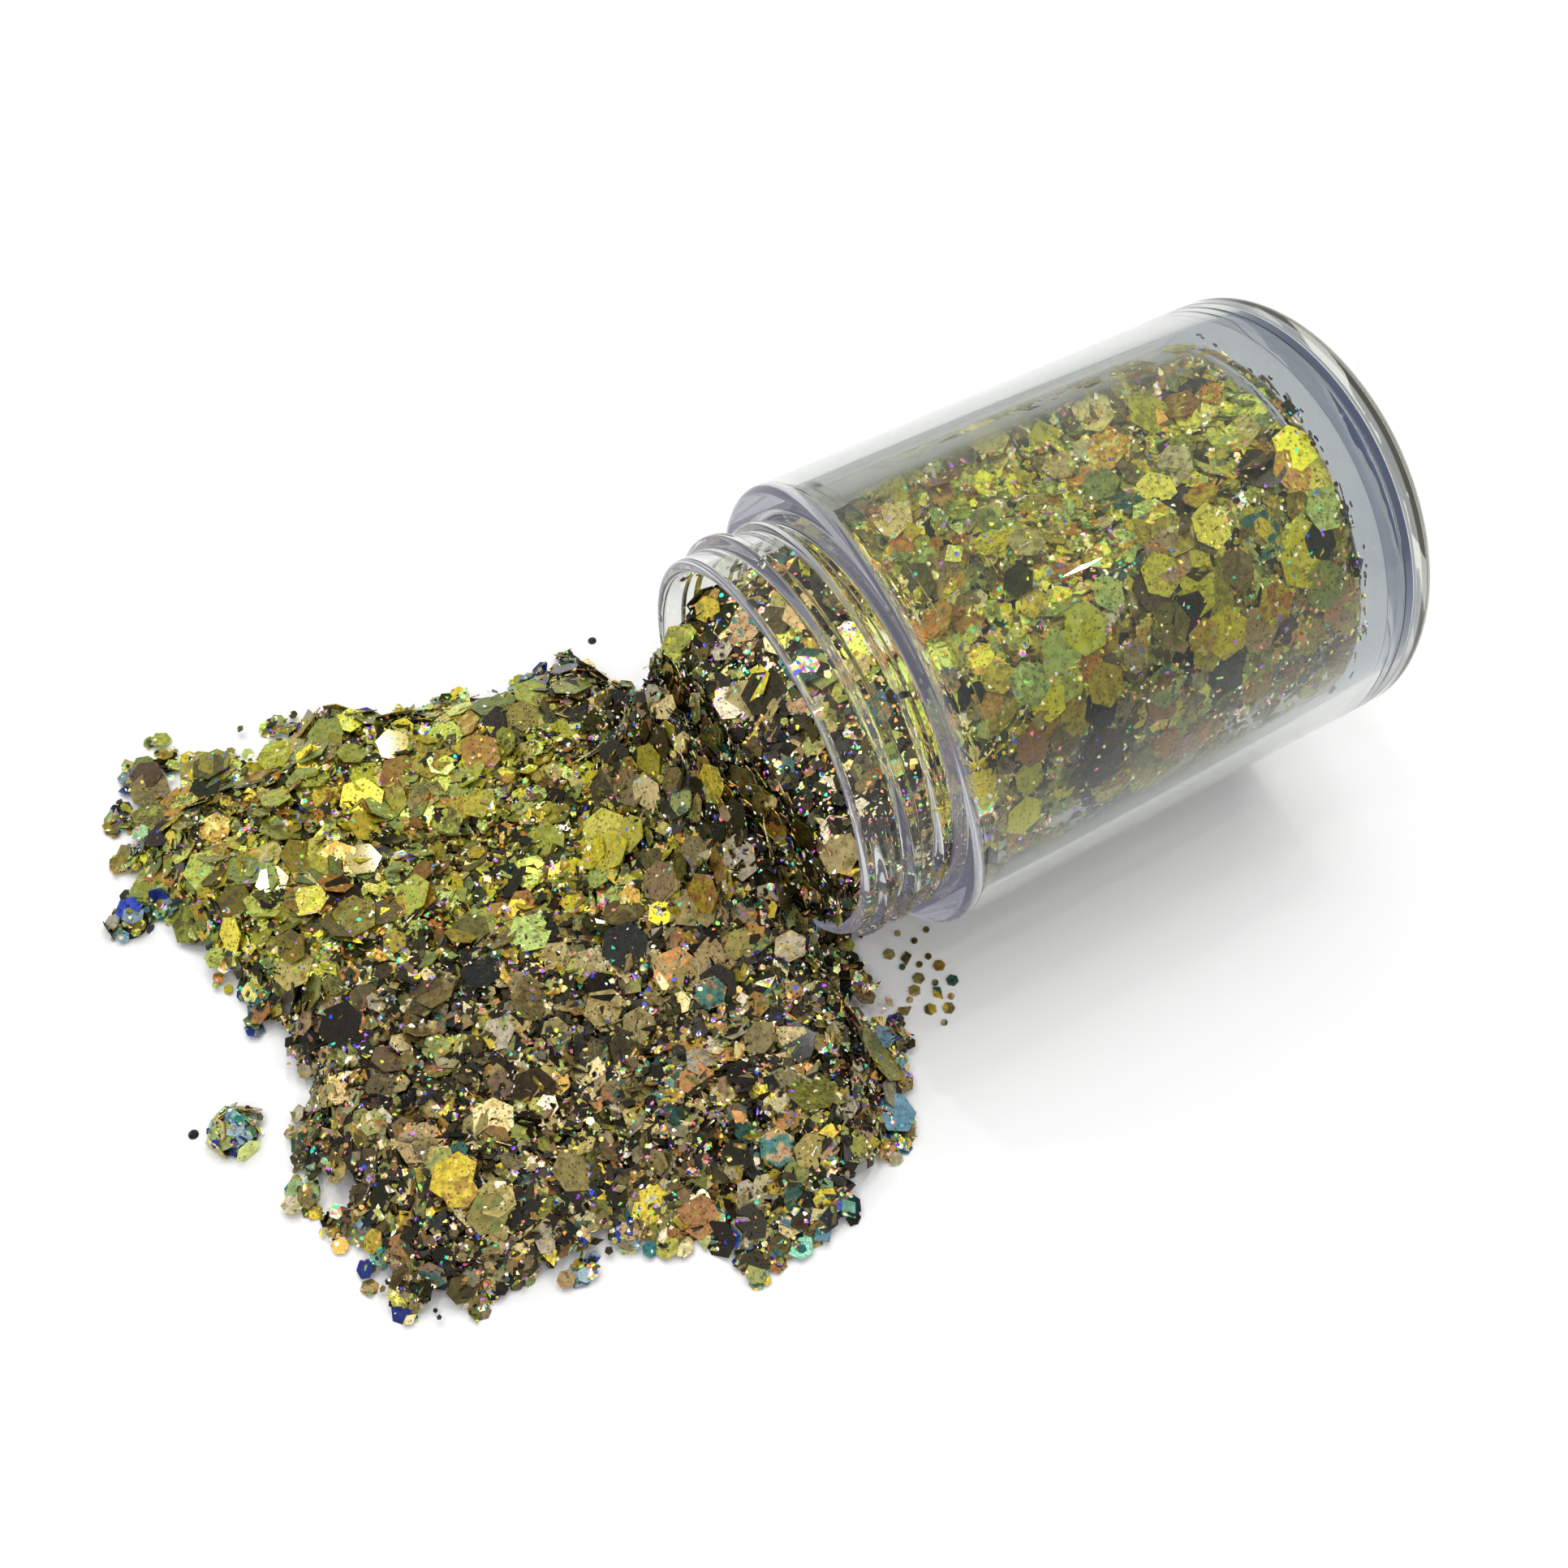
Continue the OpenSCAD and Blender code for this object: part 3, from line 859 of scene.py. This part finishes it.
def settle(mesh):
    """Presses what dips below the table flat on to it."""
    points = np.empty(len(mesh.vertices) * 3, np.float32)
    mesh.vertices.foreach_get("co", points)
    height = points[2::3]
    lowest, squash = 0.03 * MM, 0.05
    points[2::3] = np.where(height < lowest, lowest + squash * (height - lowest), height)
    mesh.vertices.foreach_set("co", points)
    mesh.update()


def scatter(surface, name, body, slot, material, **values):
    """Lays flakes on a surface mesh and makes them one plain piece."""
    carrier = new_object(name + "_carrier", surface)
    modifier = carrier.modifiers.new("Flakes", "NODES")
    modifier.node_group = scatter_tree()
    values["Material"] = material
    values.setdefault("Film", flakes().film)
    values["Seed"] = flakes().seed + sum(map(ord, name))
    for item in modifier.node_group.interface.items_tree:
        if item.item_type == "SOCKET" and item.in_out == "INPUT" and item.name in values:
            modifier[item.identifier] = values[item.name]
    bpy.context.view_layer.update()
    graph = bpy.context.evaluated_depsgraph_get()
    shown = carrier.evaluated_get(graph)
    mesh = bpy.data.meshes.new_from_object(shown, preserve_all_data_layers=True, depsgraph=graph)
    bpy.data.objects.remove(carrier)
    mesh.name = name
    settle(mesh)
    finish_piece(new_object(name, mesh), body, material)


def flake_kind(sides, width, spread, squeeze, tilt, low, high):
    """The scatter's settings for one kind of flake. The two lifts are in millimetres."""
    names = ("Sides", "Width", "Width Spread", "Squeeze", "Tilt", "Lift Low", "Lift High")
    return dict(zip(names, (sides, width, spread, squeeze, tilt, low * MM, high * MM)))


def scatter_kinds(surface, prefix, body, slot, kinds):
    """Lays several kinds of flake on one surface, each as its own piece."""
    size = flakes()
    table = {
        "large": flake_kind(6, size.large, 0.22, 0.0, 0.16, 0.3, 0.6),
        "medium": flake_kind(6, size.medium, 0.25, 0.0, 0.3, 0.0, 0.4),
        "small": flake_kind(6, size.small, 0.3, 0.0, 0.45, -0.15, 0.3),
        "dots": flake_kind(5, size.dot, 0.4, 0.0, 0.6, 0.0, 0.42),
        "shards": flake_kind(4, size.small * 1.2, 0.5, 0.78, 0.55, -0.1, 0.42),
    }
    for kind, per_area, cover, tilt, material in kinds:
        values = dict(table[kind], Cover=cover)
        values["Per Area"] = per_area * flakes().crowd * PER_SQUARE_MM
        values["Tilt"] *= tilt
        scatter(surface, f"{prefix}_{kind}", body, slot, material, **values)


def flake_finishes():
    """The flake materials, made once: by the kind of flake. The second set is painted brighter, with stronger
    painted glow and more painted glints, for the flakes behind the clear walls, to make up for the light that
    the walls hold back.
    """
    if "film_large" not in bpy.data.materials:
        for ending, brightness, glow, more in (("", 1.2, 0.5, 1.5), ("_packed", 1.75, 0.9, 1.9)):
            flake_material("film_large" + ending, 0.85, 0.0, 0.012 * more, 0.35, brightness, glow)
            flake_material("film_small" + ending, 0.4, 0.025, 0.045 * more, 1.0, brightness, glow)
            flake_material("film_dots" + ending, 0.0, 0.09, 0.05 * more, 1.0, brightness, glow)
        packed_dark()
        stray_film()
    return {m.name: m for m in bpy.data.materials}


# ---------------------------------------------------------------- the spilled heap

GRID = 0.4 * MM
FRINGE = 1.2 * MM


def stream_height(x, y, start):
    """Height of the flakes between the sample's face, start high, and the heap. From the mouth's foot."""
    if not -2.6 * MM < x < -0.05 * MM:
        return 0.0
    top = start * math.exp((x + 0.2 * MM) / (3.2 * MM))
    return top * ease((y + 9.5 * MM) / (6.5 * MM)) * ease((12.5 * MM - y) / (1.9 * MM))


DOWN = Vector((0, 0, -1))


def cad_tree(node):
    """A CAD node's surface, to be met by rays."""
    points, faces = merged_copy(node)
    return BVHTree.FromPolygons([tuple(p) for p in points], faces)


def fill_height_at_mouth():
    """Height of the sample's surface where it meets the mouth, measured on the CAD node."""
    above = Vector((fill_low.x + 0.05 * MM, AXIS_Y, 1.0))
    return cad_tree("sample_fill").ray_cast(above, DOWN)[0].z


def lumps(x, y, scale, octaves=3):
    return noise.fractal(Vector((x / scale, y / scale, 3.7)), 0.9, 2.0, octaves)


def thin_corner(x, y):
    """1 in the far corner, where single flakes lie on the table, to 0 in the heap. From the mouth's foot."""
    return ease((y - 21.5 * MM) / (3 * MM)) * ease((-18 * MM - x) / (4 * MM))


def heap_grid():
    """The heap's upper surface as a grid: place, height, the CAD heap's height and distance past its foot."""
    tree = cad_tree("spill_heap")
    start = fill_height_at_mouth()
    pad = FRINGE + GRID
    across = int((heap_high.x - heap_low.x + 2 * pad) / GRID)
    along = int((heap_high.y - heap_low.y + 2 * pad) / GRID)
    heights = {}
    for i in range(across):
        for j in range(along):
            x = heap_low.x - pad + i * GRID
            y = heap_low.y - pad + j * GRID
            mouth_x, mouth_y = x - LIP_X, y - AXIS_Y
            hit = tree.ray_cast(Vector((x, y, 1.0)), DOWN)
            if hit[0] is None:
                past = tree.find_nearest(Vector((x, y, 0)))[3]
                if past < FRINGE and mouth_x < -0.5 * MM:
                    heights[i, j] = (x, y, 0.12 * MM, 0.0, past)
                continue
            base = hit[0].z
            bridge = stream_height(mouth_x, mouth_y, start)
            rough = 0.6 * MM * lumps(x, y, 5 * MM) + 0.35 * MM * lumps(x, y, 1.6 * MM)
            free = 1.0 if mouth_x < -0.5 * MM else 0.0
            height = max(base, bridge) + rough * ease((base - 0.6 * MM) / (1.4 * MM)) * free
            flat = thin_corner(mouth_x, mouth_y)
            height = flat * 0.2 * MM + (1 - flat) * height
            heights[i, j] = (x, y, max(0.12 * MM, height), base, 0.0)
    return heights


def heap_mesh(heights, keep, drop, name, closed):
    """Joins the grid's kept points, lowered by drop. A closed one gets an underside and walls."""
    kept = {key: value for key, value in heights.items() if keep(value)}
    order = {key: index for index, key in enumerate(kept)}
    top = [(v[0], v[1], max(0.06 * MM, v[2] - drop)) for v in kept.values()]
    quads = []
    for i, j in kept:
        ring = [(i, j), (i + 1, j), (i + 1, j + 1), (i, j + 1)]
        if all(corner in order for corner in ring):
            quads.append([order[corner] for corner in ring])
    if not closed:
        return top, quads, kept
    under = [(x, y, 0.02 * MM) for x, y, z in top]
    count = len(top)
    faces = quads + [[count + v for v in reversed(q)] for q in quads]
    once = {}
    for quad in quads:
        for a, b in zip(quad, quad[1:] + quad[:1]):
            if (b, a) in once:
                del once[b, a]
            else:
                once[a, b] = True
    faces += [[b, a, count + a, count + b] for a, b in once]
    mesh = mesh_of(name, top + under, faces)
    work = bmesh.new()
    work.from_mesh(mesh)
    bmesh.ops.delete(work, geom=[v for v in work.verts if not v.link_faces], context="VERTS")
    work.to_mesh(mesh)
    work.free()
    return mesh


def heap_numbers(kept):
    """For each grid point: how thick the flakes lie, where the large ones gather, the colour zones, and the
    share of flakes turned dark as painted shade.
    """
    numbers = {"cover": [], "large_cover": [], "zone": [], "chill": [], "gloom": []}
    for x, y, z, base, past in kept.values():
        mouth_x, mouth_y = (x - LIP_X) / MM, (y - AXIS_Y) / MM
        edge = 1 - ease((base / MM - 0.4) / 1.2)
        thin = thin_corner(mouth_x * MM, mouth_y * MM)
        # Behind this line across the heap the flakes are olive, and in front of it mixed.
        border = -4.8 - 0.42 * mouth_x
        zone = ease((border - mouth_y + 2.5) / 5 + 0.25 * lumps(x, y, 6 * MM))
        near_mouth = ease((mouth_x + 7) / 5) * ease((mouth_y + 9) / 4)
        gather = 0.6 + 0.9 * lumps(x, y, 7 * MM)
        patch = lumps(x, y, 1.9 * MM) + 0.6 * lumps(x, y, 4.5 * MM)
        ragged = 1.0 if not edge else ease(1.5 + 1.6 * patch - 1.1 * edge - past / FRINGE * 1.1)
        if thin:
            ragged = min(ragged, 1 - 0.95 * thin * ease(0.7 - 1.4 * patch))
        numbers["cover"].append(ragged * (1 - 0.6 * thin))
        numbers["large_cover"].append(
            ragged * max(0.0, gather) * (1 - 0.65 * zone) * (1 - 0.6 * near_mouth) * (1 - 0.8 * edge)
        )
        numbers["zone"].append(max(zone, 0.85 * near_mouth))
        numbers["chill"].append(0.6 * edge * ease(0.5 + 1.5 * lumps(x, y, 4 * MM)) * (1 - 0.7 * thin))
        # Painted shade, standing in for the shade in the gaps between flakes: more in front and near the
        # mouth, less at the thin edges.
        numbers["gloom"].append((0.4 + 0.16 * zone + 0.42 * near_mouth) * (1 - 0.6 * edge))
    return numbers


class VIAL_OT_spill(bpy.types.Operator):
    """Build the heap of flakes that has run out of the mouth"""

    bl_idname = "vial.spill"
    bl_label = "Spilled Flakes"

    def execute(self, context):
        finish = flake_finishes()
        heights = heap_grid()

        def is_thick(v):
            return v[3] > 1.5 * MM and v[2] > 0.9 * MM

        # The core is a dark sheet of painted shade under the flakes.
        core = new_object("heap_core", heap_mesh(heights, is_thick, 0.4 * MM, "heap_core", True))
        outward(core.data)
        core.data.shade_smooth()
        finish_piece(core, "spill", finish["packed_dark"], ["spill_heap"])
        top, quads, kept = heap_mesh(heights, lambda v: True, 0.0, "heap_top", False)
        surface = mesh_of("heap_top", top, quads, heap_numbers(kept))
        kinds = [
            ("large", 0.5, "large_cover", 1.0, finish["film_large"]),
            ("medium", 1.1, "cover", 1.0, finish["film_large"]),
            ("small", 4.0, "cover", 1.0, finish["film_small"]),
            ("dots", 4.6, "cover", 1.0, finish["film_dots"]),
            ("shards", 2.8, "cover", 1.0, finish["film_small"]),
        ]
        scatter_kinds(surface, "heap", "spill", "loose_flakes", kinds)
        return {"FINISHED"}


# ---------------------------------------------------------------- the sample in the vial


def sample_mesh(inset, name):
    """The sample's surface: the CAD node remeshed, drawn in from the cup's wall, with a lumpy top."""
    points, faces = merged_copy("sample_fill")
    mesh = mesh_of(name + "_start", points, faces)
    carrier = new_object(name + "_start", mesh)
    remesh = carrier.modifiers.new("Even", "REMESH")
    remesh.mode = "VOXEL"
    remesh.voxel_size = 0.45 * MM
    bpy.context.view_layer.update()
    shown = carrier.evaluated_get(bpy.context.evaluated_depsgraph_get())
    even = bpy.data.meshes.new_from_object(shown)
    bpy.data.objects.remove(carrier)
    even.name = name
    limit = radii()[2] - inset
    normals = [v.normal.copy() for v in even.vertices]
    for vertex, normal in zip(even.vertices, normals):
        p = vertex.co
        out = math.hypot(p.y - AXIS_Y, p.z - AXIS_Z)
        if out > limit - 0.3 * MM:
            inward = min(1.0, limit / out)
            p.y, p.z = AXIS_Y + (p.y - AXIS_Y) * inward, AXIS_Z + (p.z - AXIS_Z) * inward
            continue
        rough = 0.5 * MM * lumps(p.x, p.y, 4 * MM) + 0.25 * MM * lumps(p.x, p.y, 1.5 * MM)
        facing = ease(normal.z * 2)
        p.z += rough * facing - inset * facing
        if normal.x < -0.5:
            p.x -= 0.35 * MM * max(0.0, lumps(p.y, p.z, 2 * MM)) - inset
    even.update()
    return even


def sample_numbers(mesh):
    """The same numbers as on the heap, for the sample behind the clear walls."""
    numbers = {"cover": [], "large_cover": [], "zone": [], "chill": [], "gloom": []}
    for vertex in mesh.vertices:
        p = vertex.co
        along, side, up = (p.x - LIP_X) / MM, (p.y - AXIS_Y) / MM, (p.z - AXIS_Z) / MM
        patch = noise.fractal(p / (6 * MM), 0.9, 2.0, 3)
        fine = ease((9 - along) / 6 + 0.3 * patch)
        low = ease((-1.5 - up) / 4 + 0.3 * patch) * ease((along - 6) / 6) * ease(-side / 3)
        numbers["cover"].append(1.0)
        numbers["large_cover"].append(max(0.0, 0.65 + 1.0 * patch) * (1 - 0.7 * fine))
        numbers["zone"].append(min(1.0, 0.45 + 0.5 * fine + 0.5 * patch) * (1 - 0.7 * ease((up - 3) / 4)))
        numbers["chill"].append(0.75 * low)
        # Painted shade: more in the neck and at the lip, less at the lower wall and at the top, where the
        # light falls.
        depth = 0.34 + 0.4 * ease((10 - along) / 7) + 0.3 * ease((2 - along) / 2) + 0.6 * patch
        numbers["gloom"].append(max(0.0, depth) * (1 - 0.6 * low) * (1 - 0.6 * ease((up - 3) / 4)))
    store(mesh, numbers)
    return mesh


class VIAL_OT_sample(bpy.types.Operator):
    """Build the flakes that are still in the vial"""

    bl_idname = "vial.sample"
    bl_label = "Sample"

    def execute(self, context):
        finish = flake_finishes()
        # The core is a dark sheet of painted shade under the flakes.
        core = new_object("sample_core", sample_mesh(0.6 * MM, "sample_core"))
        core.data.shade_smooth()
        finish_piece(core, "vial", finish["packed_dark"], ["sample_fill"])
        surface = sample_numbers(sample_mesh(0.35 * MM, "sample_skin"))
        kinds = [
            ("large", 0.36, "large_cover", 0.5, finish["film_large_packed"]),
            ("medium", 0.9, "cover", 0.5, finish["film_large_packed"]),
            ("small", 3.2, "cover", 0.6, finish["film_small_packed"]),
            ("dots", 3.4, "cover", 0.6, finish["film_dots_packed"]),
            ("shards", 1.8, "cover", 0.5, finish["film_small_packed"]),
        ]
        scatter_kinds(surface, "sample", "vial", "packed_flakes", kinds)
        return {"FINISHED"}


# ---------------------------------------------------------------- clumps, strays and clinging flakes


class VIAL_OT_clumps(bpy.types.Operator):
    """Build the small clumps that lie apart from the heap"""

    bl_idname = "vial.clumps"
    bl_label = "Loose Clumps"

    def execute(self, context):
        finish = flake_finishes()
        points, faces = merged_copy("loose_clumps")
        # The clumps' cores are squashed dark sheets of painted shade under their flakes.
        core_points = points * [1, 1, 0.7]
        core = new_object("clump_cores", mesh_of("clump_cores", core_points, faces))
        finish_piece(core, "spill", finish["packed_dark"], ["loose_clumps"])
        ones = np.ones(len(points))
        upper = np.clip((np.array(points)[:, 2] - 0.1 * MM) / (0.3 * MM), 0, 1)
        # A low painted-shade number for the clumps' flakes.
        numbers = {"cover": upper, "zone": ones * 0.8, "chill": ones * 0.6, "gloom": ones * 0.2}
        surface = mesh_of("clump_skin", points, faces, numbers)
        kinds = [
            ("medium", 0.8, "cover", 0.8, finish["film_large"]),
            ("small", 3.0, "cover", 1.0, finish["film_small"]),
            ("dots", 3.0, "cover", 1.0, finish["film_dots"]),
        ]
        scatter_kinds(surface, "clump", "spill", "loose_flakes", kinds)
        return {"FINISHED"}


def ring_patch(name, path, low_angle, high_angle, share, gloom):
    """Part of a ring about the vial's axis, with patches to be covered. path gives (x, radius), 0 to 1. The
    last number sets the flakes' painted shade.
    """
    rows, columns = 24, 40
    points, cover = [], []
    for i in range(rows + 1):
        x, r = path(i / rows)
        for j in range(columns + 1):
            angle = math.radians(low_angle + (high_angle - low_angle) * j / columns)
            spot = (x, AXIS_Y + r * math.cos(angle), AXIS_Z + r * math.sin(angle))
            points.append(spot)
            cover.append(ease(share + 1.6 * noise.fractal(Vector(spot) / (2.4 * MM), 0.9, 2.0, 2)))
    wide = columns + 1
    faces = [
        [i * wide + j, (i + 1) * wide + j, (i + 1) * wide + j + 1, i * wide + j + 1]
        for i in range(rows)
        for j in range(columns)
    ]
    ones = np.ones(len(points))
    return mesh_of(name, points, faces, {"cover": cover, "zone": ones * 0.8, "gloom": ones * gloom})


class VIAL_OT_clinging(bpy.types.Operator):
    """Build the few flakes that cling to the bare bore and the dust behind the cup's corner"""

    bl_idname = "vial.clinging"
    bl_label = "Clinging Flakes"

    def execute(self, context):
        finish = flake_finishes()
        cup_r, bore = radii()[1:]
        corner = vial().cup_corner
        inside, outside = 0.09 * MM, 0.05 * MM

        def along_bore(t):
            return LIP_X + (0.4 + 5.6 * t) * MM, bore - inside

        def round_corner(t):
            turn = math.radians(72 - 58 * t)
            out = corner + outside
            return CUP_END_X - corner + out * math.sin(turn), cup_r - corner + out * math.cos(turn)

        mouth = ring_patch("mouth_patch", along_bore, 25, 150, 0.1, 0.5)
        kinds = [
            ("small", 0.8, "cover", 0.3, finish["film_small_packed"]),
            ("dots", 1.2, "cover", 0.3, finish["film_dots_packed"]),
        ]
        scatter_kinds(mouth, "mouth_cling", "vial", "packed_flakes", kinds)
        # The flakes behind the cup's corner get the full painted shade.
        back = ring_patch("back_patch", round_corner, 60, 205, 0.6, 1.0)
        kinds = [
            ("dots", 1.6, "cover", 0.3, finish["film_dots_packed"]),
            ("shards", 0.5, "cover", 0.3, finish["film_small_packed"]),
        ]
        scatter_kinds(back, "back_cling", "vial", "packed_flakes", kinds)
        return {"FINISHED"}


class VIAL_OT_strays(bpy.types.Operator):
    """Finish the flakes that lie by themselves beside the neck"""

    bl_idname = "vial.strays"
    bl_label = "Stray Flakes"

    def execute(self, context):
        finish = flake_finishes()
        for node in ("stray_hexes", "stray_dots", "stray_shards"):
            stray = frame["nodes"][node]
            stray.data.materials.clear()
            stray.data.materials.append(finish["film_stray"])
        return {"FINISHED"}


# ---------------------------------------------------------------- stage


FLOOR_HALF = 3.0
KEY_PLACE = Vector((0.07, 0.18, 0.42))
SPARK_LAMPS = 8
SPARK_SIZE = 8 * MM
SPARK_TURN = math.radians(137.5)
SENSOR = 36.0


def place_lamp(data, place, target):
    """Puts a lamp at a place, facing a target."""
    made = bpy.data.objects.new(data.name, data)
    made.location = place
    made.rotation_euler = (target - place).to_track_quat("-Z", "Y").to_euler()
    bpy.context.scene.collection.objects.link(made)
    return made


class VIAL_OT_stage(bpy.types.Operator):
    """Build the pale floor, the soft studio light and the camera"""

    bl_idname = "vial.stage"
    bl_label = "Stage"

    def execute(self, context):
        s = context.scene.stage_settings
        half = FLOOR_HALF
        corners = [(-half, -half, 0), (half, -half, 0), (half, half, 0), (-half, half, 0)]
        floor = new_object("floor", mesh_of("floor", corners, [[0, 1, 2, 3]]))
        material, nodes, output = new_material("pale_floor")
        body = nodes.add("ShaderNodeBsdfPrincipled", {"Base Color": (*s.floor, 1.0), "Roughness": 0.7})
        nodes.tree.links.new(body.outputs[0], output.inputs["Surface"])
        floor.data.materials.append(material)

        world = bpy.data.worlds.new("room")
        world.use_nodes = True
        sky = Nodes(world.node_tree)
        seen = sky.add("ShaderNodeLightPath").outputs["Is Camera Ray"]
        room = [s.room] * 3 + [1.0]
        background = world.node_tree.nodes["Background"]
        world.node_tree.links.new(sky.blend(seen, room, (*s.backdrop, 1.0)), background.inputs["Color"])
        context.scene.world = world

        target = MOUTH_FOOT + Vector((0, 0, 8 * MM))
        data = bpy.data.lights.new("key", "SUN")
        data.energy, data.angle = s.key, s.key_spread
        key = place_lamp(data, target + KEY_PLACE, target)
        key.visible_glossy = False
        key.visible_transmission = False
        for index in range(SPARK_LAMPS):
            turn = SPARK_TURN * index
            out, up = 0.10 + 0.025 * index, 0.40 - 0.02 * index
            data = bpy.data.lights.new(f"spark_{index}", "AREA")
            data.energy, data.size = s.spark, SPARK_SIZE
            place_lamp(data, target + Vector((out * math.cos(turn), out * math.sin(turn), up)), target)

        eye = MOUTH_FOOT + Vector(s.eye)
        data = bpy.data.cameras.new("camera")
        data.lens, data.sensor_width = s.lens, SENSOR
        data.clip_start, data.clip_end = 0.005, 20.0
        camera = bpy.data.objects.new("camera", data)
        camera.location = eye
        camera.rotation_euler = (MOUTH_FOOT + Vector(s.aim) - eye).to_track_quat("-Z", "Y").to_euler()
        context.scene.collection.objects.link(camera)
        context.scene.camera = camera
        context.scene.view_settings.view_transform = "Standard"
        return {"FINISHED"}


# ---------------------------------------------------------------- add-on

PIECE_OPERATORS = (
    VIAL_OT_stage,
    VIAL_OT_outer_shell,
    VIAL_OT_inner_cup,
    VIAL_OT_base_disc,
    VIAL_OT_sample,
    VIAL_OT_spill,
    VIAL_OT_clumps,
    VIAL_OT_clinging,
    VIAL_OT_strays,
)


class VIAL_PT_panel(bpy.types.Panel):
    """Lists the vial's pieces in the sidebar"""

    bl_idname = "VIAL_PT_panel"
    bl_label = "Sample Vial"
    bl_space_type = "VIEW_3D"
    bl_region_type = "UI"
    bl_category = "Sample Vial"

    def draw(self, context):
        for operator in PIECE_OPERATORS:
            self.layout.operator(operator.bl_idname)
        scene = context.scene
        for group in (scene.vial_settings, scene.flake_settings, scene.stage_settings):
            box = self.layout.box()
            for name in group.__annotations__:
                box.prop(group, name)


CLASSES = (VialSettings, FlakeSettings, StageSettings, *PIECE_OPERATORS, VIAL_PT_panel)


def register():
    for cls in CLASSES:
        bpy.utils.register_class(cls)
    bpy.types.Scene.vial_settings = bpy.props.PointerProperty(type=VialSettings)
    bpy.types.Scene.flake_settings = bpy.props.PointerProperty(type=FlakeSettings)
    bpy.types.Scene.stage_settings = bpy.props.PointerProperty(type=StageSettings)


def unregister():
    del bpy.types.Scene.vial_settings
    del bpy.types.Scene.flake_settings
    del bpy.types.Scene.stage_settings
    for cls in reversed(CLASSES):
        bpy.utils.unregister_class(cls)


def main():
    register()
    for operator in PIECE_OPERATORS:
        group, name = operator.bl_idname.split(".")
        getattr(getattr(bpy.ops, group), name)()


if __name__ == "__main__":
    main()
